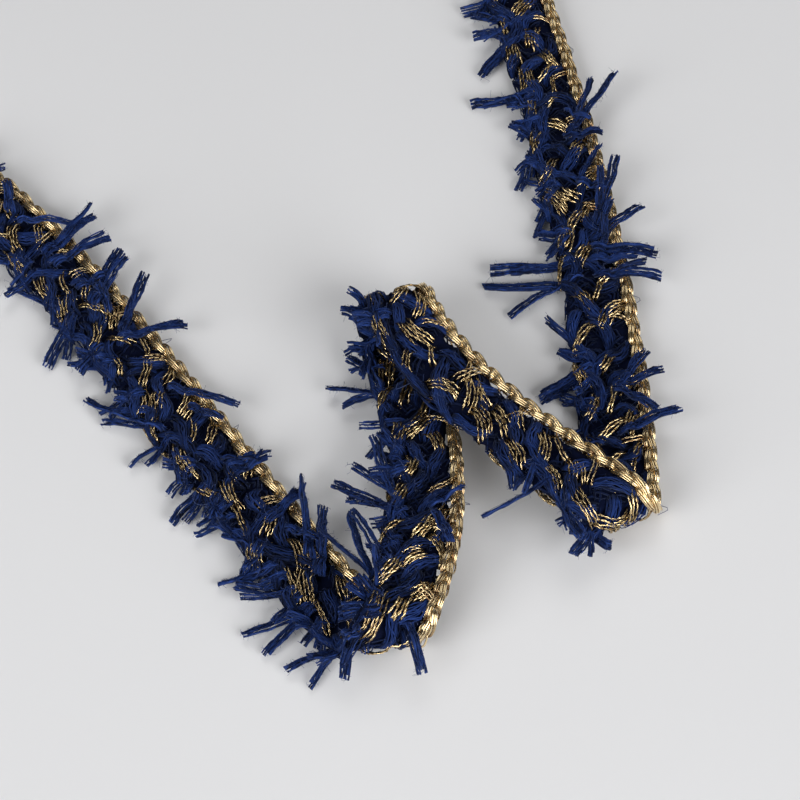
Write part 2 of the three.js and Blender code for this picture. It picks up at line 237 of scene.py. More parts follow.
def section_axes(line: Array, upward: Array) -> tuple[Array, Array, Array]:
    """Directions along a line, and across it for its section.

    Args:
        line: points along the line.
        upward: a direction, or one for each point, that the section is turned to.

    Returns:
        Ways along, ways to the side, and ways up, one row for each point.
    """
    along = unit(np.gradient(line, axis=0))
    sideways = unit(np.cross(along, upward))
    return along, sideways, np.cross(sideways, along)


@dataclass(frozen=True)
class Run:
    """A stretch that lies level: its length, its heading at three places and the height of its end."""

    length: float
    start: float
    middle: float
    end: float
    end_height: float

    def heading(self, share: float) -> float:
        """Heading in degrees a share of the way along, on a parabola through the three headings."""
        first = self.start * (1 - share) * (1 - 2 * share)
        return first + self.middle * 4 * share * (1 - share) + self.end * share * (2 * share - 1)


@dataclass(frozen=True)
class Fold:
    """A soft fold after a run: the radius of its middle line, and +1 to roll up or -1 to roll down."""

    radius: float
    lift: float


@dataclass
class Route:
    """Middle line of the trim through its runs and folds, with the way across it and its face.

    A face whose way out is lower than `down` is turned to the floor.
    """

    start: Place = (-67.2, 25.9, 1.7)
    step: float = 0.25
    runs: tuple[Run, ...] = (
        Run(134.0, -42.0, -54.5, -50.0, 1.7),
        Run(60.5, 70.0, 92.5, 104.5, 3.4),
        Run(50.7, -69.5, -45.0, -40.0, 9.5),
        Run(142.4, 90.0, 98.0, 104.5, 1.7),
    )
    folds: tuple[Fold, ...] = (Fold(3.7, 1.0), Fold(4.6, 1.0), Fold(3.9, -1.0))
    down: float = -0.3
    marks: list[Array] = field(init=False, default_factory=list)
    table: Array = field(init=False)

    def __post_init__(self) -> None:
        """Follows the runs and folds from the left end to the far end."""
        point = np.array(self.start)
        place = 0.0
        side = 1.0
        for index, run in enumerate(self.runs):
            point = self._trace_run(run, point, place, side)
            place += run.length
            if index < len(self.folds):
                after = self.runs[index + 1].start
                point, length = self._trace_fold(self.folds[index], run.end, after, point, place, side)
                place += length
                side = -side
        self.table = np.array(self.marks).T

    @property
    def length(self) -> float:
        """Whole length along the middle line."""
        return float(self.table[0, -1])

    def _mark(self, place: float, point: Array, along: Array, across: Array) -> None:
        """Keeps one traced frame of the route as a row of numbers."""
        self.marks.append(np.concatenate([[place], point, along, across]))

    def _trace_run(self, run: Run, point: Array, place: float, side: float) -> Array:
        """Traces one run.

        Args:
            run: the run.
            point: where it starts.
            place: length along the trim there.
            side: +1 where the gold edge is to the left of the heading, else -1.

        Returns:
            The point at its end.
        """
        steps = round(run.length / self.step)
        start_height = point[2]
        point = point.copy()
        for i in range(steps + 1):
            share = i / steps
            if i > 0:
                point += level(run.heading(share - 0.5 / steps)) * run.length / steps
            ease = share * share * (3 - 2 * share)
            point[2] = start_height + (run.end_height - start_height) * ease
            along = level(run.heading(share))
            self._mark(place + run.length * share, point, along, side * np.cross(UP, along))
        return point

    def _trace_fold(
        self, fold: Fold, heading_in: float, heading_out: float, point: Array, place: float, side: float
    ) -> tuple[Array, float]:
        """Traces one fold: half a turn round a level axis that halves the two headings.

        Args:
            fold: the fold.
            heading_in: heading before it, in degrees.
            heading_out: heading after it, in degrees.
            point: where it starts.
            place: length along the trim there.
            side: +1 where the gold edge is to the left of the heading, else -1.

        Returns:
            The point at its end, and its length.
        """
        into = level(heading_in)
        across_in = side * np.cross(UP, into)
        axis = unit(into + level(heading_out))
        axis = axis * np.sign(axis @ across_in)
        slip = into @ axis
        outward = into - slip * axis
        turn = float(np.linalg.norm(outward))
        outward = outward / turn
        length = math.pi * fold.radius / turn
        steps = round(length / self.step)
        entry = point.copy()
        for i in range(1, steps + 1):
            angle = math.pi * i / steps
            roll = outward * math.cos(angle) + UP * fold.lift * math.sin(angle)
            point = entry + axis * (slip / turn) * fold.radius * angle
            point = point + outward * fold.radius * math.sin(angle)
            point = point + UP * fold.lift * fold.radius * (1 - math.cos(angle))
            if i < steps:
                across = axis * (across_in @ axis) + roll * (across_in @ outward)
                self._mark(place + length * i / steps, point, axis * slip + roll * turn, across)
        return point, length

    def frames(self, places: Array) -> tuple[Array, Array, Array, Array]:
        """Frames of the route at some lengths.

        Args:
            places: lengths along the trim.

        Returns:
            Points, ways along, ways across to the gold edge, and faces.
        """
        known, *columns = self.table
        rows = np.stack([np.interp(places, known, column) for column in columns], axis=1)
        along = unit(rows[:, 3:6])
        across = unit(rows[:, 6:9])
        return rows[:, 0:3], along, across, unit(np.cross(along, across))

    def frame_at(self, place: float) -> tuple[Array, ...]:
        """Point, way along, way across and face at one length."""
        return tuple(rows[0] for rows in self.frames(np.array([place])))

    def looks_down(self, place: float, face: Face) -> bool:
        """Whether a face of the trim is turned to the floor at a place."""
        return bool(face.value * self.frame_at(place)[3][2] < self.down)

    def clip(self, places: Array, end_gap: float) -> Array:
        """Lengths along the trim, kept a little away from both ends."""
        return np.clip(places, end_gap, self.length - end_gap)

    def spots(self, end_gap: float, spacing: float) -> Array:
        """Lengths along the trim at a spacing, from near one end to near the other."""
        return np.arange(end_gap, self.length - end_gap, spacing)

    def lay(self, places: Array, across: Array, rise: Array) -> tuple[Array, Array]:
        """Points at offsets across the trim and out of its face.

        Args:
            places: lengths along the trim.
            across: offsets towards the gold edge.
            rise: offsets out of the face.

        Returns:
            The points, and the faces there.
        """
        point, _, side, face = self.frames(places)
        return point + side * across[:, None] + face * rise[:, None], face


def mesh_of(shape: bmesh.types.BMesh, name: str) -> bpy.types.Mesh:
    """Writes a shape to a new mesh and frees it.

    Args:
        shape: the shape.
        name: name of the mesh.

    Returns:
        The mesh.
    """
    mesh = bpy.data.meshes.new(name)
    shape.to_mesh(mesh)
    shape.free()
    return mesh


def put(name: str, data: bpy.types.ID) -> bpy.types.Object:
    """Puts a mesh, a light or a camera into the scene, at the origin.

    Args:
        name: name of the object.
        data: what it holds.

    Returns:
        The object.
    """
    holder = bpy.data.objects.new(name, data)
    bpy.context.scene.collection.objects.link(holder)
    return holder


@dataclass(frozen=True)
class Twine:
    """A metallic yarn of two plies: its radius, length of a turn, shares of the radius, and tones."""

    radius: float
    turn: float
    wind: float
    ply: float
    tone: Span
    contrast: float
    samples: int = 4

    @property
    def step(self) -> float:
        """Distance between samples along the yarn."""
        return self.turn / self.samples


@dataclass
class Yarns:
    """Many strands joined into one mesh, with a map whose width is tone and whose height is twist."""

    name: str
    sides: int = 3
    count: int = 0
    points: list[Array] = field(default_factory=list)
    outs: list[Array] = field(default_factory=list)
    charts: list[Array] = field(default_factory=list)
    quads: list[Array] = field(default_factory=list)
    caps: list[Array] = field(default_factory=list)

    def add(self, line: Array, upward: Array, radius: float, tone: Array | float) -> None:
        """Adds one strand with closed ends.

        Args:
            line: points along its middle.
            upward: a direction, or one for each point, that its section is turned to.
            radius: its radius.
            tone: its tone, or one for each point.
        """
        count = len(line)
        sides = np.arange(self.sides)
        line = line.copy()
        line[:, 2] = np.maximum(line[:, 2], radius + FLOOR_GAP)
        _, sideways, normal = section_axes(line, upward)
        angles = FULL_TURN * sides / self.sides
        ring = np.cos(angles)[:, None] * normal[:, None] + np.sin(angles)[:, None] * sideways[:, None]
        self.points.append((line[:, None] + radius * ring).reshape(-1, 3))
        self.outs.append(ring.reshape(-1, 3))
        tones = np.clip(np.broadcast_to(tone, count), *TONE_LIMITS)
        twist = TWIST_LOW + TWIST_STEP * ((np.arange(count)[:, None] + sides) % 2)
        self.charts.append(np.stack([np.repeat(tones, self.sides), twist.ravel()], axis=1))
        starts = self.count + np.arange(count - 1)[:, None] * self.sides
        near = starts + sides
        after = starts + (sides + 1) % self.sides
        quads = np.stack([near, after, after + self.sides, near + self.sides], axis=-1)
        self.quads.append(quads.reshape(-1, 4))
        self.caps.append(self.count + np.stack([sides[::-1], (count - 1) * self.sides + sides]))
        self.count += count * self.sides

    def twine(self, rng: Chance, line: Array, upward: Array, twist: Twine) -> None:
        """Adds one metallic yarn of two plies that wind round each other.

        Args:
            rng: seeded source of chance.
            line: points along its middle.
            upward: one direction for each point that its section is turned to.
            twist: sizes and tones of the yarn.
        """
        tone = rng.uniform(*twist.tone)
        start = rng.uniform(0.0, FULL_TURN)
        _, sideways, normal = section_axes(line, upward)
        angle = (start + FULL_TURN * lengths_of(line) / twist.turn)[:, None]
        offset = twist.radius * twist.wind * (np.cos(angle) * normal + np.sin(angle) * sideways)
        self.add(line + offset, upward, twist.radius * twist.ply, tone)
        self.add(line - offset, upward, twist.radius * twist.ply, tone - twist.contrast)

    @property
    def triangles(self) -> int:
        """Number of triangles so far."""
        return 2 * sum(map(len, self.quads)) + (self.sides - 2) * sum(map(len, self.caps))

    def build(self, material: bpy.types.Material) -> bpy.types.Object:
        """Writes the joined mesh.

        Args:
            material: finish of the yarn.

        Returns:
            The new object, at the origin.
        """
        quads = np.concatenate(self.quads)
        caps = np.concatenate(self.caps)
        corners = np.concatenate([quads.ravel(), caps.ravel()]).astype(np.int32)
        quad_starts = np.arange(len(quads)) * quads.shape[1]
        cap_starts = quads.size + np.arange(len(caps)) * self.sides
        starts = np.concatenate([quad_starts, cap_starts]).astype(np.int32)
        places = (np.concatenate(self.points) * MM).astype(np.float32)
        chart = np.concatenate(self.charts)[corners].astype(np.float32)
        mesh = bpy.data.meshes.new(self.name)
        mesh.vertices.add(len(places))
        mesh.vertices.foreach_set("co", places.ravel())
        mesh.loops.add(len(corners))
        mesh.loops.foreach_set("vertex_index", corners)
        mesh.polygons.add(len(starts))
        mesh.polygons.foreach_set("loop_start", starts)
        mesh.polygons.foreach_set("use_smooth", np.full(len(starts), True))
        mesh.update(calc_edges=True)
        mesh.uv_layers.new(name=MAP_NAME).uv.foreach_set("vector", chart.ravel())
        mesh.materials.append(material)
        log.info("%s: %d triangles", self.name, self.triangles)
        return put(self.name, mesh)


def opaque(colour: Colour) -> tuple[float, float, float, float]:
    """A colour with full cover, as sockets take it."""
    return (*colour, 1.0)


def new_material(name: str) -> tuple[bpy.types.Material, bpy.types.Node]:
    """Starts a material.

    Args:
        name: its name.

    Returns:
        The material, and its shader.
    """
    material = bpy.data.materials.new(name)
    material.use_nodes = True
    return material, material.node_tree.nodes["Principled BSDF"]


def add_node(tree: bpy.types.NodeTree, kind: str, **choices: str) -> bpy.types.Node:
    """Adds a node.

    Args:
        tree: nodes that it joins.
        kind: type of the node.
        choices: its menus, by name.

    Returns:
        The node.
    """
    node = tree.nodes.new(kind)
    for name, choice in choices.items():
        setattr(node, name, choice)
    return node


def set_inputs(node: bpy.types.Node, values: dict[str, float | tuple[float, ...]]) -> None:
    """Sets inputs of a node by name."""
    for name, value in values.items():
        node.inputs[name].default_value = value


def wire(tree: bpy.types.NodeTree, *wires: Wire) -> None:
    """Links nodes, each pair given as a node and its output, and a node and its input."""
    for giver, output, taker, entry in wires:
        tree.links.new(giver.outputs[output], taker.inputs[entry])


def object_noise(tree: bpy.types.NodeTree, scale: float) -> bpy.types.Node:
    """Adds a noise on the piece's own coordinates.

    Args:
        tree: nodes that it joins.
        scale: how fine the noise is.

    Returns:
        The noise node.
    """
    places = add_node(tree, "ShaderNodeTexCoord")
    noise = add_node(tree, "ShaderNodeTexNoise")
    set_inputs(noise, {"Scale": scale})
    wire(tree, (places, "Object", noise, "Vector"))
    return noise


class YarnTone:
    """Shader group that turns a yarn's map of tone and twist into colour and roughness."""

    NAME = "yarn_tone"
    SOCKETS = (
        ("Map", "INPUT", "NodeSocketVector"),
        ("Shade", "INPUT", "NodeSocketColor"),
        ("Light", "INPUT", "NodeSocketColor"),
        ("Twist depth", "INPUT", "NodeSocketFloat"),
        ("Rough low", "INPUT", "NodeSocketFloat"),
        ("Rough high", "INPUT", "NodeSocketFloat"),
        ("Colour", "OUTPUT", "NodeSocketColor"),
        ("Roughness", "OUTPUT", "NodeSocketFloat"),
    )
    # Places of a mix node's sockets, which have the same names for numbers and for colours.
    NUMBER_A, NUMBER_B, NUMBER_MIX = 2, 3, 0
    COLOUR_A, COLOUR_B, COLOUR_MIX = 6, 7, 2

    def group(self) -> bpy.types.NodeTree:
        """Finds the group, or makes it the first time."""
        return bpy.data.node_groups.get(self.NAME) or self._make()

    def _make(self) -> bpy.types.NodeTree:
        """Makes the group's sockets and nodes.

        Returns:
            The new node group.
        """
        tree = bpy.data.node_groups.new(self.NAME, "ShaderNodeTree")
        for name, way, kind in self.SOCKETS:
            tree.interface.new_socket(name=name, in_out=way, socket_type=kind)
        source = add_node(tree, "NodeGroupInput")
        result = add_node(tree, "NodeGroupOutput")
        split = add_node(tree, "ShaderNodeSeparateXYZ")
        tone = add_node(tree, "ShaderNodeMix", data_type="RGBA")
        dark = add_node(tree, "ShaderNodeMath", operation="SUBTRACT")
        depth = add_node(tree, "ShaderNodeMath", operation="MULTIPLY")
        keep = add_node(tree, "ShaderNodeMath", operation="SUBTRACT")
        shaded = add_node(tree, "ShaderNodeVectorMath", operation="SCALE")
        rough = add_node(tree, "ShaderNodeMix", data_type="FLOAT")
        for complement in (dark, keep):
            complement.inputs[0].default_value = 1.0
        wire(
            tree,
            (source, "Map", split, "Vector"),
            (split, "X", tone, "Factor"),
            (source, "Shade", tone, self.COLOUR_A),
            (source, "Light", tone, self.COLOUR_B),
            (split, "Y", dark, 1),
            (dark, 0, depth, 0),
            (source, "Twist depth", depth, 1),
            (depth, 0, keep, 1),
            (tone, self.COLOUR_MIX, shaded, 0),
            (keep, 0, shaded, "Scale"),
            (shaded, 0, result, "Colour"),
            (split, "Y", rough, "Factor"),
            (source, "Rough low", rough, self.NUMBER_A),
            (source, "Rough high", rough, self.NUMBER_B),
            (rough, self.NUMBER_MIX, result, "Roughness"),
        )
        return tree


@dataclass(frozen=True)
class YarnFinish:
    """Look of a yarn: colours from shade to light, how far the twist darkens it, gloss and fibres."""

    name: str
    shade: Colour
    light: Colour
    twist_depth: float
    rough: Span
    metallic: float = 0.0
    specular: float = 0.08
    sheen: float = 0.0
    sheen_rough: float = 0.5
    sheen_tint: Colour = (1.0, 1.0, 1.0)
    fibre_scale: float = 5200.0
    fibre_height: float = 0.06
    fibre_strength: float = 0.6

    def material(self) -> bpy.types.Material:
        """Builds the finish.

        Returns:
            A material that reads the piece's own map of tone and twist.
        """
        material, shader = new_material(self.name)
        tree = material.node_tree
        gloss = {
            "Metallic": self.metallic,
            "Specular IOR Level": self.specular,
            "Sheen Weight": self.sheen,
            "Sheen Roughness": self.sheen_rough,
            "Sheen Tint": opaque(self.sheen_tint),
        }
        set_inputs(shader, gloss)
        chart = add_node(tree, "ShaderNodeUVMap", uv_map=MAP_NAME)
        yarn = add_node(tree, "ShaderNodeGroup")
        yarn.node_tree = YarnTone().group()
        tones = {
            "Shade": opaque(self.shade),
            "Light": opaque(self.light),
            "Twist depth": self.twist_depth,
            "Rough low": self.rough[0],
            "Rough high": self.rough[1],
        }
        set_inputs(yarn, tones)
        fibres = object_noise(tree, self.fibre_scale)
        bump = add_node(tree, "ShaderNodeBump")
        set_inputs(bump, {"Strength": self.fibre_strength, "Distance": self.fibre_height * MM})
        wire(
            tree,
            (chart, "UV", yarn, "Map"),
            (yarn, "Colour", shader, "Base Color"),
            (yarn, "Roughness", shader, "Roughness"),
            (fibres, "Fac", bump, "Height"),
            (bump, "Normal", shader, "Normal"),
        )
        return material


NAVY_ROVING = YarnFinish(
    name="navy_roving",
    shade=(0.0004, 0.0014, 0.009),
    light=(0.018, 0.047, 0.205),
    twist_depth=0.3,
    rough=(0.8, 0.95),
    sheen=0.08,
    sheen_tint=(0.5, 0.62, 1.0),
)
NAVY_CUT = replace(
    NAVY_ROVING,
    name="navy_cut_yarn",
    shade=(0.0008, 0.0026, 0.015),
    light=(0.022, 0.056, 0.240),
    twist_depth=0.35,
    rough=(0.78, 0.95),
)
# Near-black navy of the braid's ground: painted shade for the deep gaps between the loops.
NAVY_GROUND_SHADE = YarnFinish(
    name="navy_ground_painted_shade",
    shade=(0.0012, 0.0025, 0.012),
    light=(0.003, 0.006, 0.028),
    twist_depth=0.3,
    rough=(0.9, 0.98),
    fibre_scale=2600.0,
    fibre_height=0.25,
)
# Pale, greyish navy: painted sheen of the loose fuzz, lighter than the dyed yarn.
NAVY_HAZE_SHEEN = YarnFinish(
    name="navy_fibre_haze_painted_sheen",
    shade=(0.020, 0.036, 0.110),
    light=(0.13, 0.17, 0.34),
    twist_depth=0.2,
    rough=(0.8, 0.95),
    fibre_height=0.02,
)
BODY_GOLD = YarnFinish(
    name="gold_strand",
    shade=(0.08, 0.03, 0.006),
    light=(0.99, 0.77, 0.42),
    twist_depth=0.25,
    rough=(0.14, 0.22),
    metallic=0.95,
    specular=0.5,
    fibre_scale=4200.0,
    fibre_height=0.02,
)
CHAIN_GOLD = replace(
    BODY_GOLD,
    name="gold_chain_strand",
    shade=(0.13, 0.045, 0.008),
    light=(1.0, 0.8, 0.47),
    twist_depth=0.1,
    rough=(0.12, 0.2),
)


@dataclass
class BraidGround:
    """Inner ground of the braid: one closed flat band along the runs and folds, near-black as painted
    shade in the gaps between the loops.
    """

    route: Route
    name: str = "braid_ground"
    trim_width: float = 10.3
    middle: float = -1.0
    half_width: float = 5.0
    half_height: float = 0.4
    squareness: float = 0.6
    sides: int = 14
    step: float = 1.2
    end_gap: float = 0.4
    floor_gap: float = 0.05
    swell: Wave = Wave(7.0, 0.18)
    sway: Wave = Wave(11.0, 0.3)
    tone_low: float = 0.3
    tone_step: float = 0.4

    def build(self) -> bpy.types.Object:
        """Builds the band.

        Returns:
            The piece.
        """
        shape = bmesh.new()
        grid = [[shape.verts.new(point) for point in row] for row in self._rows()]
        loops = [[shape.edges.new((row[j - 1], row[j])) for j in range(self.sides)] for row in grid]
        for before, after in zip(loops[:-1], loops[1:]):
            bmesh.ops.bridge_loops(shape, edges=before + after)
        for end in (loops[0], loops[-1]):
            bmesh.ops.edgeloop_fill(shape, edges=end)
        bmesh.ops.recalc_face_normals(shape, faces=shape.faces[:])
        shape.verts.index_update()
        chart = shape.loops.layers.uv.new(MAP_NAME)
        for face in shape.faces:
            face.smooth = True
            for corner in face.loops:
                row, column = divmod(corner.vert.index, self.sides)
                tone = self.tone_low + self.tone_step * (row % 2)
                corner[chart].uv = (tone, TWIST_LOW + TWIST_STEP * (column % 2))
        mesh = mesh_of(shape, self.name)
        mesh.materials.append(NAVY_GROUND_SHADE.material())
        log.info("%s: %d faces", self.name, len(mesh.polygons))
        return put(self.name, mesh)

    def _rows(self) -> Array:
        """Points round the band, in metres.

        Returns:
            A row of points for each section along the trim.
        """
        rng = Layer.GROUND.chance()
        length = self.route.length
        places = np.linspace(self.end_gap, length - self.end_gap, int(length / self.step))
        swell = 1.0 + self.swell.over(rng, places)
        sway = self.sway.over(rng, places)
        lines = []
        for angle in FULL_TURN * (np.arange(self.sides) + 0.5) / self.sides:
            across = self.half_width * self._power(math.cos(angle)) * swell + sway + self.middle
            rise = self.half_height * self._power(math.sin(angle)) * swell
            line, _ = self.route.lay(places, across, rise)
            line[:, 2] = np.maximum(line[:, 2], self.floor_gap)
            lines.append(line * MM)
        return np.stack(lines, axis=1)

    def _power(self, value: float) -> float:
        """A power that keeps the sign, for a section between an oval and a rectangle."""
        return math.copysign(abs(value) ** self.squareness, value)


@dataclass
class InnerBraid:
    """Inner layer of the braid: navy bundles that zigzag across it under the loops of its faces.

    A bundle goes to both sides once in a period, and up and down as often as `lifts` says.
    """

    route: Route
    bundles: int = 5
    period: float = 17.0
    period_drift: Wave = Wave(38.0, 0.55)
    sharpness: float = 0.94
    reach: float = 4.3
    middle: float = -1.2
    sway: Wave = Wave(9.0, 0.4)
    lift: float = 0.72
    lifts: int = 4
    heave: Wave = Wave(7.0, 0.2)
    strands: int = 6
    half_width: float = 1.1
    half_depth: float = 0.45
    swell: Wave = Wave(13.0, 0.3)
    strand_radius: float = 0.22
    radius_share: Span = (0.85, 1.1)
    strand_turn: float = 16.0
    turn_jitter: float = 0.3
    ring: Span = (0.8, 1.05)
    stray: Wave = Wave(5.0, 0.08)
    # Low tones are painted shade, so the bundles read as dark gaps under the loops.
    tone: Span = (0.0, 0.2)
    tone_wave: Wave = Wave(6.0, 0.1)
    step: float = 1.5
    end_gap: float = 0.8
    least_gap: float = 0.3

    def yarns(self) -> Yarns:
        """Lays the bundles.

        Returns:
            Their strands.
        """
        rng = Layer.INNER_BUNDLES.chance()
        yarns = Yarns("inner_bundles")
        for bundle in range(self.bundles):
            self._bundle(rng, yarns, bundle)
        return yarns

    def _bundle(self, rng: Chance, yarns: Yarns, bundle: int) -> None:
        """Adds the strands of one bundle.

        Args:
            rng: seeded source of chance.
            yarns: the piece that gets the strands.
            bundle: number of the bundle.
        """
        places = self.route.spots(self.end_gap, self.step)
        angle = FULL_TURN * (places / self.period + bundle / self.bundles)
        angle = angle + self.period_drift.over(rng, places)
        zigzag = np.arcsin(self.sharpness * np.sin(angle)) / math.asin(self.sharpness)
        across = self.middle + self.reach * zigzag + self.sway.over(rng, places)
        rise = self.lift * np.sin(self.lifts * angle + bundle) + self.heave.over(rng, places)
        width = self.half_width * (1.0 + self.swell.over(rng, places))
        slope = np.gradient(across, places)
        stretch = np.sqrt(1.0 + slope**2)
        for m in range(self.strands):
            turn = FULL_TURN * (m / self.strands + places / self.strand_turn)
            turn = turn + either_way(rng, self.turn_jitter)
            ring = rng.uniform(*self.ring)
            aside = width * ring * np.cos(turn) + self.stray.over(rng, places)
            line, face = self.route.lay(
                self.route.clip(places - aside * slope / stretch, self.least_gap),
                across + aside / stretch,
                rise + self.half_depth * ring * np.sin(turn),
            )
            tone = rng.uniform(*self.tone) + self.tone_wave.over(rng, places)
            yarns.add(line, face, self.strand_radius * rng.uniform(*self.radius_share), tone)


@dataclass(frozen=True)
class Lane:
    """A lane of loops along the braid: its middle across, lean in degrees and half length."""

    middle: float
    lean: Span
    half_length: Span


@dataclass(frozen=True)
class Arc:
    """Way of one loop over a face: its place, middle across, lean, half length, bend, sway and height.

    The later fields are alike for all loops: limits of the body across, how hard they hold a loop back,
    how the loop dives to its root height, and how far the face falls off at its edges.
    """

    face: Face
    place: float
    middle: float
    lean: float
    half: float
    bend: float
    height: float
    sway: float = 0.0
    body_low: float = -7.6
    body_high: float = 4.7
    hold_power: int = 6
    dive_power: float = 2.6
    root_rise: float = 0.25
    edge_fall: float = 0.9
    fall_power: int = 3
    end_gap: float = 0.5

    def lay(self, route: Route, share: Array, aside: Array, lift: Array) -> tuple[Array, Array]:
        """Points of one strand of the loop.

        Args:
            route: the trim's route.
            share: shares of the half length, from -1 to 1.
            aside: offsets to the side of the loop's way.
            lift: offsets out of the face.

        Returns:
            The points, and the faces there.
        """
        aside = aside + self.bend * (1 - share**2) + self.sway * np.sin(math.pi * share)
        along = self.place + share * self.half * math.cos(self.lean) - aside * math.sin(self.lean)
        across = self.middle + share * self.half * math.sin(self.lean) + aside * math.cos(self.lean)
        centre = (self.body_low + self.body_high) / 2
        out = np.abs(across - centre) / ((self.body_high - self.body_low) / 2)
        kept = (1 + out**self.hold_power) ** (-1 / self.hold_power)
        across = centre + (across - centre) * kept
        dive = 1 - np.abs(share) ** self.dive_power
        rise = self.root_rise + (self.height - self.root_rise) * dive + lift
        rounding = np.sqrt(1.0 - self.edge_fall * (out * kept) ** self.fall_power)
        return route.lay(route.clip(along, self.end_gap), across, self.face.value * rise * rounding)


@dataclass
class FaceYarns:
    """Yarns over one face of the braid, on arcs that lean across it lane by lane."""

    route: Route
    face: Face
    height: float = 1.05
    place_jitter: float = 0.8
    least_points: int = 6

    def _lean(self, rng: Chance, lane: Lane, chance: float) -> float:
        """A lean of a lane, mostly to the fringe edge on the front and to the gold edge on the back.

        Args:
            rng: seeded source of chance.
            lane: the lane.
            chance: share of the leans that go this way.

        Returns:
            The lean in radians.
        """
        lean = math.radians(rng.uniform(*lane.lean))
        return lean * self.face.value * (-1.0 if rng.uniform() < chance else 1.0)

    def _shares(self, arc: Arc, step: float) -> Array:
        """Shares of an arc's half length, from -1 to 1, about a step apart."""
        return np.linspace(-1.0, 1.0, max(self.least_points, int(2 * arc.half / step)))


@dataclass
class NavyLoops(FaceYarns):
    """Soft navy loops over one face of the braid, each a bundle of fine strands."""

    # Ways of the loops.
    lanes: tuple[Lane, ...] = (
        Lane(1.7, (14.0, 66.0), (2.9, 4.6)),
        Lane(-1.8, (10.0, 60.0), (3.2, 5.2)),
        Lane(-5.2, (4.0, 34.0), (3.6, 5.8)),
    )
    spacing: float = 2.5
    end_gap: float = 5.0
    end_places: tuple[float, ...] = (1.2, 2.2, 3.2, 4.2)
    way_chance: float = 0.7
    middle_jitter: float = 0.7
    bend: Span = (0.3, 2.0)
    sway: float = 0.45
    height_share: Span = (0.8, 1.1)
    # Section of a loop, a fan of strands that is pinched at both ends.
    strands: int = 19
    under_strands: int = 6
    strand_radius: float = 0.125
    radius_share: Span = (0.8, 1.15)
    step: float = 0.75
    half_width: float = 1.3
    half_depth: float = 1.0
    girth: Span = (0.7, 1.15)
    ring: Span = (0.8, 1.06)
    section_arc: float = 190.0
    turn_jitter: float = 0.12
    pinch: float = 0.4
    pinch_reach: float = 0.96
    # Unevenness of each strand: some stray far from the others.
    slant: float = 0.35
    stray_chance: float = 0.2
    stray: Span = (0.2, 0.7)
    calm_stray: float = 0.12
    stray_pitch: float = 5.0
    ripple: Wave = Wave(2.2, 0.07)
    heave: Wave = Wave(4.0, 0.12)
    fuzz: float = 0.07
    # Tones: painted light on the crest of each loop, and painted shade at its sides and at its ends,
    # where it dives into the braid.
    tone: Span = (0.04, 0.62)
    painted_crest_light: float = 0.5
    painted_end_shade: float = 0.4
    tone_jitter: float = 0.2
    fuzz_tone: float = 0.2

    def arcs(self) -> list[Arc]:
        """Spreads the loops over the face, lane by lane.

        Returns:
            The ways of the loops.
        """
        rng = Layer.LOOP_WAYS.chance(self.face is Face.BACK)
        arcs = []
        ends = [place for end in self.end_places for place in (end, self.route.length - end)]
        for i, place in enumerate([*self.route.spots(self.end_gap, self.spacing), *ends]):
            lane = self.lanes[i % len(self.lanes)]
            arc = Arc(
                face=self.face,
                lean=self._lean(rng, lane, self.way_chance),
                place=place + either_way(rng, self.place_jitter),
                middle=lane.middle + either_way(rng, self.middle_jitter),
                half=rng.uniform(*lane.half_length),
                bend=either_sign(rng, self.bend),
                sway=either_way(rng, self.sway),
                height=self.height * rng.uniform(*self.height_share),
            )
            arcs.append(arc)
        return arcs

    def yarns(self) -> Yarns:
        """Lays the loops.

        Returns:
            Their strands.
        """
        rng = Layer.LOOP_STRANDS.chance(self.face is Face.BACK)
        yarns = Yarns(f"navy_loops_{self.face.name.lower()}")
        for arc in self.arcs():
            self._loop(rng, yarns, arc)
        return yarns

    def _loop(self, rng: Chance, yarns: Yarns, arc: Arc) -> None:
        """Adds the strands of one loop.

        Args:
            rng: seeded source of chance.
            yarns: the piece that gets the strands.
            arc: the way of the loop.
        """
        share = self._shares(arc, self.step)
        run = share * arc.half
        pinch = np.sqrt(np.cos(0.5 * math.pi * share * self.pinch_reach))
        pinch = self.pinch + (1 - self.pinch) * pinch
        girth = rng.uniform(*self.girth)
        loop_tone = rng.uniform(*self.tone)
        strands = self.under_strands if self.route.looks_down(arc.place, self.face) else self.strands
        for m in range(strands):
            turn = fan_angle(self.section_arc, m, strands) + either_way(rng, self.turn_jitter)
            strays = rng.uniform() < self.stray_chance
            stray = Wave(self.stray_pitch, rng.uniform(*self.stray) if strays else self.calm_stray)
            ring = girth * rng.uniform(*self.ring)
            aside = ring * self.half_width * math.sin(turn) * pinch
            aside = aside + either_way(rng, self.slant) * share
            aside = aside + stray.over(rng, run) + self.ripple.over(rng, run)
            lift = ring * self.half_depth * math.cos(turn) * pinch + self.heave.over(rng, run)
            aside = aside + rng.normal(0.0, self.fuzz, len(share))
            line, face = arc.lay(self.route, share, aside, lift)
            # Painted light and shade: strands on top of the loop are lighter, those at its sides and ends
            # darker.
            crest = self.painted_crest_light * (math.cos(turn) - 0.5) - self.painted_end_shade * share**4
            tone = loop_tone + crest + either_way(rng, self.tone_jitter)
            tone = tone + rng.normal(0.0, self.fuzz_tone, len(share))
            yarns.add(line, face, self.strand_radius * rng.uniform(*self.radius_share), tone)


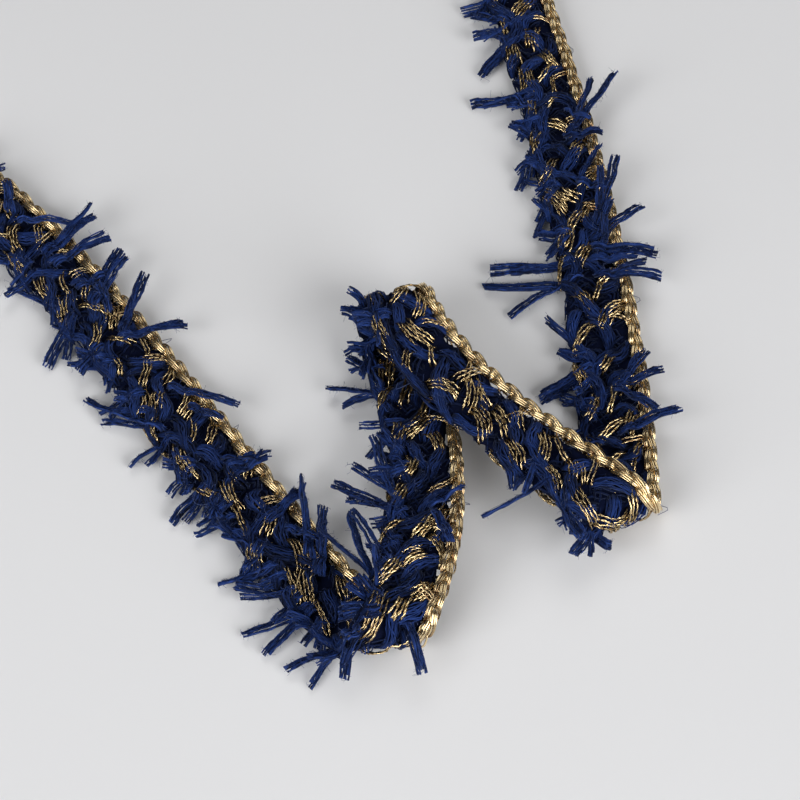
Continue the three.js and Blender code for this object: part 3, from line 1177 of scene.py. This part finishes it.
@dataclass
class GoldGroups(FaceYarns):
    """Groups of gold strands over one face of the braid, among its navy loops."""

    lanes: tuple[Lane, ...] = (
        Lane(2.3, (12.0, 60.0), (2.8, 4.6)),
        Lane(-4.5, (6.0, 40.0), (3.2, 5.4)),
        Lane(-0.8, (12.0, 56.0), (2.8, 4.8)),
    )
    spacing: float = 2.7
    end_gap: float = 4.0
    # Chance of a group at each place, less where the face looks down.
    chance: float = 0.9
    under_chance: float = 0.4
    way_chance: float = 0.85
    middle_jitter: float = 0.8
    bend: Span = (0.2, 1.6)
    height_share: Span = (0.95, 1.1)
    # Strands of a group, the higher number left out.
    strands: tuple[int, int] = (2, 6)
    gap: float = 0.63
    lift: float = 0.75
    dive: float = 1.3
    reach: Span = (0.75, 1.05)
    reach_shift: float = 0.25
    fan: float = 0.25
    sway: Wave = Wave(6.0, 0.2)
    heave: Wave = Wave(4.0, 0.12)
    gold: Twine = Twine(0.27, turn=2.4, wind=0.5, ply=0.58, tone=(0.6, 1.05), contrast=0.5)

    def lay(self, yarns: Yarns) -> None:
        """Lays the groups over the face, lane by lane.

        Args:
            yarns: the piece that gets the strands.
        """
        rng = Layer.GOLD_GROUPS.chance(self.face is Face.BACK)
        for i, place in enumerate(self.route.spots(self.end_gap, self.spacing)):
            lane = self.lanes[i % len(self.lanes)]
            chance = self.under_chance if self.route.looks_down(place, self.face) else self.chance
            arc = Arc(
                face=self.face,
                place=place + either_way(rng, self.place_jitter),
                middle=lane.middle + either_way(rng, self.middle_jitter),
                lean=self._lean(rng, lane, self.way_chance),
                half=rng.uniform(*lane.half_length),
                bend=either_sign(rng, self.bend),
                height=self.height * rng.uniform(*self.height_share),
            )
            if rng.uniform() < chance:
                self._group(rng, yarns, arc)

    def _group(self, rng: Chance, yarns: Yarns, arc: Arc) -> None:
        """Adds one group of strands.

        Args:
            rng: seeded source of chance.
            yarns: the piece that gets the strands.
            arc: the way of the group.
        """
        strands = int(rng.integers(*self.strands))
        share = self._shares(arc, self.gold.step)
        run = share * arc.half
        for m in range(strands):
            reach = share * rng.uniform(*self.reach) + either_way(rng, self.reach_shift)
            fan = 1.0 + either_way(rng, self.fan) * share
            aside = self.gap * from_middle(m, strands) * fan + self.sway.over(rng, run)
            lift = self.lift - self.dive * share**4 + self.heave.over(rng, run)
            line, face = arc.lay(self.route, np.clip(reach, -1.0, 1.0), aside, lift)
            yarns.twine(rng, line, face, self.gold)


@dataclass
class HeadingChain:
    """Gold chain along one edge: crossed legs of chain stitches on both faces.

    The leg's points are shares of its length along, of its sway across and of its lift.
    """

    route: Route
    leg: tuple[Place, ...] = (
        (0.0, 0.75, -0.9),
        (0.14, 1.0, 0.4),
        (0.36, 0.95, 1.0),
        (0.66, 0.45, 1.0),
        (0.86, -0.05, 0.4),
        (1.0, -0.4, -0.8),
    )
    # Row of stitches along the edge.
    middle: float = 5.15
    stitch: float = 4.6
    reach: float = 1.36
    stagger: float = 0.5
    first: float = 0.6
    end_gap: float = 0.4
    least_gap: float = 0.3
    length_share: Span = (0.95, 1.05)
    sway: float = 0.68
    sway_share: Span = (0.9, 1.1)
    lift: float = 0.95
    lift_share: Span = (0.92, 1.08)
    # Section of a leg, a fan of strands that is pinched at both ends, where painted crease shade darkens
    # it.
    strands: int = 4
    under_strands: int = 2
    strand_sides: int = 5
    strand_radius: float = 0.18
    cord_radius: float = 0.45
    cord_arc: float = 164.0
    step: float = 0.65
    pinch: float = 0.25
    pinch_ends: tuple[float, float] = (0.02, 0.98)
    tone: Span = (0.98, 1.28)
    strand_tone: Span = (-0.55, 0.15)
    painted_crease_shade: float = 2.3
    tone_wave: Wave = Wave(2.4, 0.12)

    def yarns(self, side: Face) -> Yarns:
        """Lays the stitches of one face.

        Args:
            side: the face.

        Returns:
            Their strands.
        """
        rng = Layer.CHAIN.chance(side is Face.BACK)
        yarns = Yarns(f"gold_chain_{side.name.lower()}", self.strand_sides)
        first = self.first if side is Face.FRONT else self.first + self.stitch / 2
        last = self.route.length - self.stitch * self.reach - self.end_gap
        for at in np.arange(first, last, self.stitch):
            for way in SIGNS:
                start = at + (self.stagger * self.stitch if way > 0 else 0.0)
                self._leg(rng, yarns, side, min(start, last), way)
        return yarns

    def _leg(self, rng: Chance, yarns: Yarns, side: Face, at: float, way: float) -> None:
        """Adds one leg of a stitch.

        Args:
            rng: seeded source of chance.
            yarns: the piece that gets the strands.
            side: the face.
            at: where the leg starts.
            way: +1 to sway to the outer edge, -1 to the braid.
        """
        length = self.stitch * self.reach * rng.uniform(*self.length_share)
        sway = way * self.sway * rng.uniform(*self.sway_share)
        lift = self.lift * rng.uniform(*self.lift_share)
        middle = smooth_line(np.array(self.leg) * (length, sway, lift), self.step)
        slope = unit(np.gradient(middle[:, :2], axis=0))
        pinch = np.sqrt(np.sin(math.pi * np.linspace(*self.pinch_ends, len(middle))))
        pinch = self.pinch + (1 - self.pinch) * pinch
        leg_tone = rng.uniform(*self.tone)
        strands = self.under_strands if self.route.looks_down(at, side) else self.strands
        for m in range(strands):
            turn = fan_angle(self.cord_arc, m, strands)
            aside = self.cord_radius * math.sin(turn) * pinch
            along = at + middle[:, 0] - slope[:, 1] * aside
            across = self.middle + middle[:, 1] + slope[:, 0] * aside
            rise = middle[:, 2] + self.cord_radius * math.cos(turn) * pinch
            along = self.route.clip(along, self.least_gap)
            line, face = self.route.lay(along, across, side.value * rise)
            # Painted shade: the leg darkens towards its pinched ends, in the creases between the
            # stitches.
            tone = leg_tone + rng.uniform(*self.strand_tone) - self.painted_crease_shade * (1.0 - pinch)
            tone = tone + self.tone_wave.over(rng, middle[:, 0])
            yarns.add(line, face, self.strand_radius, tone)


@dataclass
class GoldTies:
    """Gold strands that tie the chain into the braid, on both faces in turn.

    A tie's points are shares of its lean along, offsets across and heights over the face. Those of its
    inner end count across from a place drawn by chance.
    """

    route: Route
    outer: tuple[Place, ...] = ((0.0, 5.0, 0.5), (0.3, 4.1, 1.2), (0.65, 2.9, 1.6))
    inner: tuple[Place, ...] = ((1.0, 0.0, 1.5), (1.2, -1.0, 0.5))
    inner_place: Span = (0.2, 1.7)
    first: float = 4.0
    end_gap: float = 6.0
    spacing: float = 6.3
    lean: Span = (0.6, 3.0)
    # Strands of a tie, the higher number left out.
    strands: tuple[int, int] = (2, 4)
    gap: float = 0.75
    fan: float = 0.7
    fan_gain: float = 0.4
    fine_step: float = 0.1
    gold: Twine = Twine(0.24, turn=2.4, wind=0.48, ply=0.6, tone=(0.5, 0.9), contrast=0.4)

    def yarns(self) -> Yarns:
        """Lays the ties.

        Returns:
            Their strands.
        """
        rng = Layer.TIES.chance()
        yarns = Yarns("gold_ties")
        for i, place in enumerate(np.arange(self.first, self.route.length - self.end_gap, self.spacing)):
            self._tie(rng, yarns, Face.BACK if i % 2 else Face.FRONT, place)
        return yarns

    def _tie(self, rng: Chance, yarns: Yarns, side: Face, place: float) -> None:
        """Adds the strands of one tie.

        Args:
            rng: seeded source of chance.
            yarns: the piece that gets the strands.
            side: the face.
            place: length along the trim at the chain.
        """
        lean = either_sign(rng, self.lean)
        inner = np.array([0.0, rng.uniform(*self.inner_place), 0.0])
        strands = int(rng.integers(*self.strands))
        bend = smooth_line(np.vstack([self.outer, inner + self.inner]), self.fine_step)
        for m in range(strands):
            fan = self.fan + self.fan_gain * bend[:, 0]
            along = place + lean * bend[:, 0] + self.gap * from_middle(m, strands) * fan
            line, face = self.route.lay(along, bend[:, 1], side.value * bend[:, 2])
            line = resample(line, self.gold.step)
            yarns.twine(rng, line, pick_evenly(face, len(line)), self.gold)


@dataclass(frozen=True)
class Lock:
    """A cut lock: place along the trim, swing from straight out, reach, rise of its tip, and girth."""

    at: float
    swing: float
    reach: float
    rise: float
    girth: float


def locks_of(*rows: tuple[float, float, float, float, float]) -> tuple[Lock, ...]:
    """Locks from rows of place, swing, reach, rise and girth."""
    return tuple(Lock(*row) for row in rows)


FRINGE_LOCKS = locks_of(
    (41.5, -65, 8, -1, 1), (50, 37, 9, -1, 1.9), (61, -33, 6, 0, 1.6), (77, -57, 13, -1, 1.8),
    (82, 5, 7, -1, 1.6), (95, 16, 7.5, -1, 1.6), (114, -20, 8, -1, 1.9), (119.5, -36, 8, 0, 1.6),
    (125, -6, 10.5, -1, 1.8), (133.5, 2, 8.5, -1, 1.8), (138, 45, 5, -1.5, 1.6),
    (150.5, -40, 16, -2.5, 1.6), (156, -45, 11, -1, 1.3), (167, -26, 12.5, -2.5, 1.5),
    (171, -61, 13.5, -1, 1.6), (196, -19, 10, -2, 2.2), (219, -70, 4, 1, 1.3),
    (265, -29, 11, -2.5, 0.9), (268.5, 60, 9.5, 0.5, 1.7), (277, 25, 5, -2, 1.9),
    (314.5, 28, 8.5, -1, 2.2), (321, -61, 8, 1, 1.2), (336, 15, 14.5, -1, 2.1),
    (340, 2, 13.5, 0, 2.1), (357, 61, 8.5, -1, 1.5), (371, 66, 11, -1, 1.6), (384, 4, 10, -1, 1.9),
    (398, 37, 8.5, -1, 1.9), (411, 20, 6, -1, 2),
)
FACE_LOCKS = locks_of(
    (25, -36, 9, 2, 1), (33, 4, 10, 2.4, 1.6), (36.5, -12, 8.5, 2.4, 1.4), (47, 21, 8.7, 2.8, 1.9),
    (56, 40, 10, 3, 1.6), (59.5, -31, 9.5, 2, 1.4), (75, -60, 11, 2, 1.2), (95.5, -18, 5, 2.4, 1.7),
    (115, 62, 12, 3.4, 1.6), (118.5, 45, 9, 2.4, 1.4), (143.5, -66, 6.5, -2, 1.5),
    (302, 25, 8.6, 2.4, 1.6), (311.5, 17, 6.2, 2.4, 1.3), (336.5, -4, 9, 2, 1.9),
    (342.5, -22, 9.4, 2.4, 1.5), (347, 44, 8.8, 2.4, 1.5), (351.5, 72, 12.7, 3.2, 1.7),
    (374, 49, 14.3, 3, 1.8),
)


@dataclass(frozen=True)
class ShortLocks:
    """Short locks between the long ones: spacing, spans of each size, and stretches without any.

    The rates are fractions that spread swing, reach, rise and girth evenly from lock to lock.
    """

    spacing: float
    swing: Span
    reach: Span
    rise: Span
    girth: Span
    bare: tuple[Span, ...]
    rates: tuple[float, ...] = (0.618034, 0.754878, 0.414214, 0.569840)
    margin: float = 2.0
    first_place: float = 0.3
    place_spread: float = 0.4
    least_gap: float = 1.9

    def spread(self, length: float, long_locks: tuple[Lock, ...]) -> list[Lock]:
        """Spreads the short locks by fixed fractions, clear of the long ones.

        Args:
            length: length of the trim.
            long_locks: the long locks on the same edge.

        Returns:
            The short locks.
        """
        locks = []
        spans = (self.swing, self.reach, self.rise, self.girth)
        for i in range(int((length - 2 * self.margin) / self.spacing)):
            shares = [(i + 1) * rate % 1 for rate in self.rates]
            sizes = [low + (high - low) * share for share, (low, high) in zip(shares, spans)]
            at = self.margin + (i + self.first_place + self.place_spread * shares[-1]) * self.spacing
            clear = all(abs(long.at - at) > self.least_gap for long in long_locks)
            if clear and not any(start < at < end for start, end in self.bare):
                locks.append(Lock(at, *sizes))
        return locks


FRINGE_BARE = ((226, 258), (321, 333), (386, 394))
FACE_BARE = ((60, 73), (85, 92), (98, 104), (121, 140), (149, 163), (169, 299), (316, 333), (382, 412))
SHORT_FRINGE = ShortLocks(4.1, (-70, 70), (2.8, 6), (-1, 1.6), (1, 1.8), FRINGE_BARE)
SMALL_FRINGE = ShortLocks(5.9, (-75, 75), (2.2, 4.4), (-0.6, 2.2), (1.1, 1.9), FRINGE_BARE)
SHORT_FACE = ShortLocks(6.3, (-75, 75), (2.8, 5.6), (1.6, 3), (1, 1.7), FACE_BARE)


@dataclass
class CutLocks:
    """Cut locks of one edge: flat tapes of a few strands with square ends, rooted in the braid.

    Locks of the face rise over the chain first, and those of the fringe stay low.
    """

    route: Route
    edge: Edge
    long_locks: tuple[Lock, ...]
    short_locks: tuple[ShortLocks, ...]
    name: str
    # Section of a tape: a flat ring of strands, and the filament on it.
    strands: int = 14
    least_strands: int = 5
    strand_radius: float = 0.185
    radius_share: Span = (0.8, 1.15)
    width_share: float = 0.52
    half_depth: float = 0.2
    filament_radius: float = 0.05
    filament_pitch: float = 0.7
    filament_swing: Span = (0.6, 1.0)
    filament_tone: Span = (0.6, 0.95)
    step: float = 0.8
    line_step: float = 0.4
    # A lock over this girth has a second tape, splayed from the first.
    double_girth: float = 1.3
    splay: float = 12.0
    swing_jitter: float = 4.0
    tape_gap: float = 0.7
    second_reach: Span = (0.65, 0.95)
    second_girth: Span = (0.5, 0.9)
    # Middle line: from inside the braid over the root and the bend to the tip.
    root_rise: float = 0.2
    root_lift: float = 0.6
    bend_share: float = 0.5
    bend_rise: Span = (-0.2, 0.9)
    over_root_rise: float = 0.9
    over_reach: float = 2.6
    over_share: float = 0.4
    over_rise: float = 3.2
    tip_gap: float = 0.05
    inner: Span = (2.2, 3.6)
    inner_rise: float = 0.4
    middle_share: float = 0.55
    middle_rise: float = 1.5
    upper_chance: float = 0.7
    # Unevenness of a tape and of its strands, some of which end short.
    roll: float = 0.8
    twist: float = 1.2
    bow: float = 0.09
    bow_wave: Wave = Wave(14.0, 0.4)
    turn_jitter: float = 0.2
    root_width: float = 0.9
    width_gain: float = 0.12
    aside_wave: Wave = Wave(4.0, 0.1)
    deep_wave: Wave = Wave(4.0, 0.08)
    fuzz: float = 0.045
    short_chance: float = 0.35
    # Tones of the strands.
    tone: Span = (0.1, 0.8)
    fuzz_tone: float = 0.25

    @property
    def over(self) -> bool:
        """Whether the locks rise over the chain."""
        return self.edge is Edge.FACE

    def yarns(self) -> Yarns:
        """Lays the locks of the edge, the thick ones as two tapes.

        Returns:
            Their strands.
        """
        rng = Layer.LOCKS.chance(self.over)
        yarns = Yarns(self.name)
        between = [short.spread(self.route.length, self.long_locks) for short in self.short_locks]
        for lock in (*self.long_locks, *chain.from_iterable(between)):
            tapes = 1 + int(lock.girth > self.double_girth)
            for t in range(tapes):
                aside = from_middle(t, tapes)
                tape = Lock(
                    at=lock.at + self.tape_gap * aside,
                    swing=lock.swing + (self.splay * aside + either_way(rng, self.swing_jitter)),
                    reach=lock.reach * (1.0 if t == 0 else rng.uniform(*self.second_reach)),
                    rise=lock.rise,
                    girth=lock.girth * (1.0 if t == 0 else rng.uniform(*self.second_girth)),
                )
                self._tape(rng, yarns, tape)
        return yarns

    def _line(self, rng: Chance, lock: Lock) -> Array:
        """Middle line of a lock, from inside the braid to its cut end.

        Args:
            rng: seeded source of chance.
            lock: the lock.

        Returns:
            Points along the line.
        """
        point, _, across, face = self.route.frame_at(lock.at)
        upward = -1.0 if face[2] < 0 else 1.0
        root_rise = self.over_root_rise if self.over else self.root_rise
        root = point + across * self.edge.value + face * upward * root_rise
        out = unit(np.array([across[0], across[1], 0.0])) * np.sign(self.edge.value)
        out = turned(out, lock.swing)
        tip = root + out * lock.reach
        tip[2] = max(root[2] + lock.rise, self.strand_radius + self.tip_gap)
        if self.over:
            bend = root + out * min(self.over_reach, lock.reach * self.over_share) + UP * self.over_rise
        else:
            bend = root + out * lock.reach * self.bend_share
            bend[2] = max(tip[2], root[2] + lock.rise / 2) + rng.uniform(*self.bend_rise)
        share = CURVE_SHARES
        curve = root * (1 - share) ** 2 + 2 * bend * share * (1 - share) + tip * share**2
        inner = rng.uniform(*self.inner)
        side = upward if self.over or rng.uniform() < self.upper_chance else -upward
        first = root - out * inner + face * side * self.inner_rise
        second = root - out * inner * self.middle_share + face * side * self.middle_rise
        third = curve[0] + face * side * self.root_lift
        return smooth_line(np.vstack([first, second, third, curve[2:]]), self.line_step)

    def _tape(self, rng: Chance, yarns: Yarns, lock: Lock) -> None:
        """Adds one tape: side by side strands, with a fine filament that zigzags between them.

        Args:
            rng: seeded source of chance.
            yarns: the piece that gets the strands.
            lock: its place and sizes.
        """
        middle = resample(self._line(rng, lock), self.step)
        length = self.step * (len(middle) - 1)
        share = np.linspace(0.0, 1.0, len(middle))
        run = share * length
        along, sideways, upward = section_axes(middle, UP)
        roll = either_way(rng, self.roll) + either_way(rng, self.twist) * share
        flat = sideways * np.cos(roll)[:, None] + upward * np.sin(roll)[:, None]
        bow = rng.normal(0.0, self.bow) * length * share**2 + self.bow_wave.over(rng, run) * share
        middle = middle + sideways * bow[:, None]
        half_width = self.width_share * lock.girth
        strands = max(self.least_strands, round(self.strands * lock.girth / 2))
        for m in range(strands):
            turn = FULL_TURN * m / strands + either_way(rng, self.turn_jitter)
            aside = half_width * math.cos(turn) * (self.root_width + self.width_gain * share)
            aside = aside + self.aside_wave.over(rng, run) + rng.normal(0.0, self.fuzz, len(share))
            deep = self.half_depth * math.sin(turn) + self.deep_wave.over(rng, run)
            strand = middle + flat * aside[:, None] + np.cross(flat, along) * deep[:, None]
            strand = strand[: len(strand) - int(rng.uniform() < self.short_chance)]
            tone = rng.uniform(*self.tone) + rng.normal(0.0, self.fuzz_tone, len(strand))
            radius = self.strand_radius * rng.uniform(*self.radius_share)
            yarns.add(strand, upward[: len(strand)], radius, tone)
        self._filament(rng, yarns, middle, flat * half_width)

    def _filament(self, rng: Chance, yarns: Yarns, middle: Array, flat: Array) -> None:
        """Adds the zigzag filament on a tape.

        Args:
            rng: seeded source of chance.
            yarns: the piece that gets the filament.
            middle: middle line of the tape.
            flat: half of the way across the tape at each point.
        """
        line = resample(middle, self.filament_pitch)
        count = len(line)
        flat = pick_evenly(flat, count)
        zigzag = np.where(np.arange(count) % 2 == 0, 1.0, -1.0) * rng.uniform(*self.filament_swing, count)
        out = np.cross(unit(flat), unit(np.gradient(line, axis=0)))
        line = line + flat * zigzag[:, None] + out * (self.half_depth + self.strand_radius)
        yarns.add(line, NEAR_UP, self.filament_radius, rng.uniform(*self.filament_tone))


@dataclass
class CurlyThreads:
    """Curly threads that leave an edge of the braid and bend back."""

    route: Route
    count: int = 26
    radius: float = 0.065
    step: float = 0.7
    end_gap: float = 4.0
    middle: float = -1.2
    half_width: float = 4.9
    start_rise: Span = (-0.5, 1.5)
    root_depth: float = 1.5
    reach: Span = (2.0, 4.5)
    drift: float = 4.0
    early_drift: float = 0.1
    crown_rise: Span = (-0.5, 0.8)
    end_reach: Span = (0.2, 0.9)
    tone: Span = (0.1, 0.6)

    def lay(self, rng: Chance, yarns: Yarns) -> None:
        """Adds the threads.

        Args:
            rng: seeded source of chance.
            yarns: the piece that gets the threads.
        """
        for _ in range(self.count):
            place = rng.uniform(self.end_gap, self.route.length - self.end_gap)
            side = rng.choice(SIGNS)
            point, along, across, face = self.route.frame_at(place)
            offset = self.middle + side * self.half_width
            start = point + across * offset + face * rng.uniform(*self.start_rise)
            out = across * side
            reach = rng.uniform(*self.reach)
            drift = either_way(rng, self.drift)
            corners = [
                start - out * self.root_depth,
                start + out * reach * 0.5 + along * drift * self.early_drift,
                start + out * reach + along * drift * 0.5 + face * rng.uniform(*self.crown_rise),
                start + out * reach * rng.uniform(*self.end_reach) + along * drift,
            ]
            line = smooth_line(np.array(corners), self.step)
            yarns.add(line, NEAR_UP, self.radius, rng.uniform(*self.tone))


@dataclass
class FibreHaze:
    """Loose fibres that stand off the navy loops and, more often, off the locks, and curly threads."""

    route: Route
    loops: list[Yarns]
    locks: list[Yarns]
    lock_weight: int = 3
    radius: float = 0.026
    tone: Span = (0.1, 0.9)
    skew: float = 0.37
    short_fibres: int = 15000
    short_length: Span = (0.25, 0.7)
    short_spread: float = 0.8
    long_fibres: int = 3600
    long_length: Span = (0.6, 1.5)
    long_spread: float = 0.6
    curl: float = 0.28

    def yarns(self) -> Yarns:
        """Lays the fibres and threads.

        Returns:
            Their strands.
        """
        rng = Layer.HAZE.chance()
        yarns = Yarns("fibre_haze")
        sources = [*self.loops, *self.locks * self.lock_weight]
        roots = np.concatenate([points for source in sources for points in source.points])
        outs = np.concatenate([ways for source in sources for ways in source.outs])
        share = np.array([0.0, 0.5, 1.0])[:, None]
        for i in rng.integers(0, len(roots), self.short_fibres):
            way = unit(outs[i] + rng.normal(0.0, self.short_spread, 3)) * rng.uniform(*self.short_length)
            line = np.stack([roots[i], roots[i] + way])
            yarns.add(line, np.cross(way, outs[i] + self.skew), self.radius, rng.uniform(*self.tone))
        for i in rng.integers(0, len(roots), self.long_fibres):
            length = rng.uniform(*self.long_length)
            way = unit(outs[i] + rng.normal(0.0, self.long_spread, 3))
            curl = rng.normal(0.0, self.curl, 3) * length
            line = roots[i] + way * length * share + curl * share * (1 - share) * 4
            yarns.add(line, np.cross(way, outs[i] + self.skew), self.radius, rng.uniform(*self.tone))
        CurlyThreads(self.route).lay(rng, yarns)
        return yarns


@dataclass(frozen=True)
class FloorFinish:
    """Pale even surface with a faint grain."""

    low: Colour = (0.735, 0.735, 0.745)
    high: Colour = (0.765, 0.765, 0.775)
    rough: float = 0.75
    specular: float = 0.2
    grain_scale: float = 9.0

    def material(self) -> bpy.types.Material:
        """Builds the finish.

        Returns:
            The floor's material.
        """
        material, shader = new_material("pale_floor")
        tree = material.node_tree
        set_inputs(shader, {"Roughness": self.rough, "Specular IOR Level": self.specular})
        grain = object_noise(tree, self.grain_scale)
        ramp = add_node(tree, "ShaderNodeValToRGB")
        for stop, colour in zip(ramp.color_ramp.elements, (self.low, self.high)):
            stop.color = opaque(colour)
        wire(tree, (grain, "Fac", ramp, "Fac"), (ramp, "Color", shader, "Base Color"))
        return material


@dataclass(frozen=True)
class SoftBox:
    """A soft area light: its place, what it looks at, its size and its power."""

    name: str
    place: Place
    target: Place
    size: float
    power: float


@dataclass
class Studio:
    """Pale floor, soft lights and the camera at the photograph's angle, in metres and degrees."""

    target: Place = (0.0218, -0.0296, 0.0)
    distance: float = 0.44
    elevation: float = 54.0
    lens: float = 110.0
    sensor: float = 36.0
    far_limit: float = 10.0
    floor_half: float = 2.5
    room_colour: Colour = (0.97, 0.98, 1.0)
    room_strength: float = 0.05
    boxes: tuple[SoftBox, ...] = (
        SoftBox("left_light", (-0.9, -0.96, 0.72), (0.0, -0.02, 0.0), 1.05, 19.4),
        SoftBox("right_light", (0.9, -0.95, 0.56), (0.02, -0.02, 0.0), 1.05, 21.4),
        SoftBox("crest_light", (0.0, 1.8, 2.48), (0.0, 0.0, 0.0), 1.8, 19.6),
    )

    def build(self) -> None:
        """Builds the floor, the lights, the room and the camera."""
        self._floor()
        for box in self.boxes:
            self._light(box)
        self._room()
        self._camera()

    def _floor(self) -> None:
        """Lays the floor."""
        shape = bmesh.new()
        bmesh.ops.create_grid(shape, x_segments=1, y_segments=1, size=self.floor_half)
        mesh = mesh_of(shape, "floor")
        mesh.materials.append(FloorFinish().material())
        floor = put("floor", mesh)

    def _light(self, box: SoftBox) -> None:
        """Hangs one soft light.

        Args:
            box: its place and power.
        """
        lamp = bpy.data.lights.new(box.name, "AREA")
        lamp.shape = "SQUARE"
        lamp.size = box.size
        lamp.energy = box.power
        self._aim(put(box.name, lamp), Vector(box.place), Vector(box.target) - Vector(box.place))

    def _room(self) -> None:
        """Fills the room with soft light."""
        world = bpy.data.worlds.new("soft_room")
        world.use_nodes = True
        glow = {"Color": opaque(self.room_colour), "Strength": self.room_strength}
        set_inputs(world.node_tree.nodes["Background"], glow)
        bpy.context.scene.world = world
        bpy.context.scene.view_settings.view_transform = "Standard"

    def _camera(self) -> None:
        """Sets the camera."""
        data = bpy.data.cameras.new("camera")
        data.lens = self.lens
        data.sensor_width = self.sensor
        data.clip_end = self.far_limit
        camera = put("camera", data)
        angle = math.radians(self.elevation)
        back = Vector((0.0, -math.cos(angle), math.sin(angle)))
        self._aim(camera, Vector(self.target) + back * self.distance, -back)
        bpy.context.scene.camera = camera

    @staticmethod
    def _aim(holder: bpy.types.Object, place: Vector, way: Vector) -> None:
        """Places a light or the camera, and turns it to look a way."""
        holder.location = place
        holder.rotation_euler = way.to_track_quat("-Z", "Y").to_euler()


def settle(piece: bpy.types.Object, slot: Slot, *nodes: str) -> None:
    """Ties a piece to the part's body, and hides the solids it stands for.

    Args:
        piece: the piece.
        slot: the record's material slot; not used.
        nodes: solids that it replaces.
    """
    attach(piece, BODY)
    if nodes:
        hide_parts(*nodes)
    log.info("%s rides on %s", piece.name, BODY)


STRIPS = {"left": 3, "upright": 2, "crossing": 2, "right": 3}


def strip_nodes(prefix: str) -> list[str]:
    """Names of an edge's solids, a few for each run."""
    return [f"{prefix}_{run}_run_{k + 1}" for run, count in STRIPS.items() for k in range(count)]


def main() -> None:
    """Builds the studio, then the trim piece by piece."""
    logging.basicConfig(level=logging.INFO, format="%(name)s %(message)s")
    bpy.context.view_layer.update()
    Studio().build()
    route = Route()
    ground = BraidGround(route)
    ground_piece = ground.build()
    settle(ground_piece, Slot.NAVY, "braid_body")
    inner = InnerBraid(route).yarns()
    loops = [NavyLoops(route, face).yarns() for face in Face]
    fringe_short = (SHORT_FRINGE, SMALL_FRINGE)
    fringe = CutLocks(route, Edge.FRINGE, FRINGE_LOCKS, fringe_short, "fringe_locks").yarns()
    tufts = CutLocks(route, Edge.FACE, FACE_LOCKS, (SHORT_FACE,), "face_locks").yarns()
    haze = FibreHaze(route, loops, [fringe, tufts]).yarns()
    strands = Yarns("gold_strands")
    for face in Face:
        GoldGroups(route, face).lay(strands)
    heading = HeadingChain(route)
    ties = GoldTies(route).yarns()
    roving = NAVY_ROVING.material()
    cut = NAVY_CUT.material()
    chain_gold = CHAIN_GOLD.material()
    navy_pieces = [yarns.build(roving) for yarns in (inner, *loops)]
    navy_pieces.append(haze.build(NAVY_HAZE_SHEEN.material()))
    gold_pieces = [strands.build(BODY_GOLD.material()), ties.build(chain_gold)]
    chain_pieces = [heading.yarns(side).build(chain_gold) for side in Face]
    fringe_piece = fringe.build(cut)
    tuft_piece = tufts.build(cut)
    for piece in navy_pieces:
        settle(piece, Slot.NAVY)
    for piece in gold_pieces:
        settle(piece, Slot.GOLD)
    for piece in chain_pieces:
        settle(piece, Slot.GOLD, "heading_chain")
    settle(fringe_piece, Slot.NAVY, *strip_nodes("fringe"))
    settle(tuft_piece, Slot.NAVY, *strip_nodes("face_tufts"))


if __name__ == "__main__":
    main()
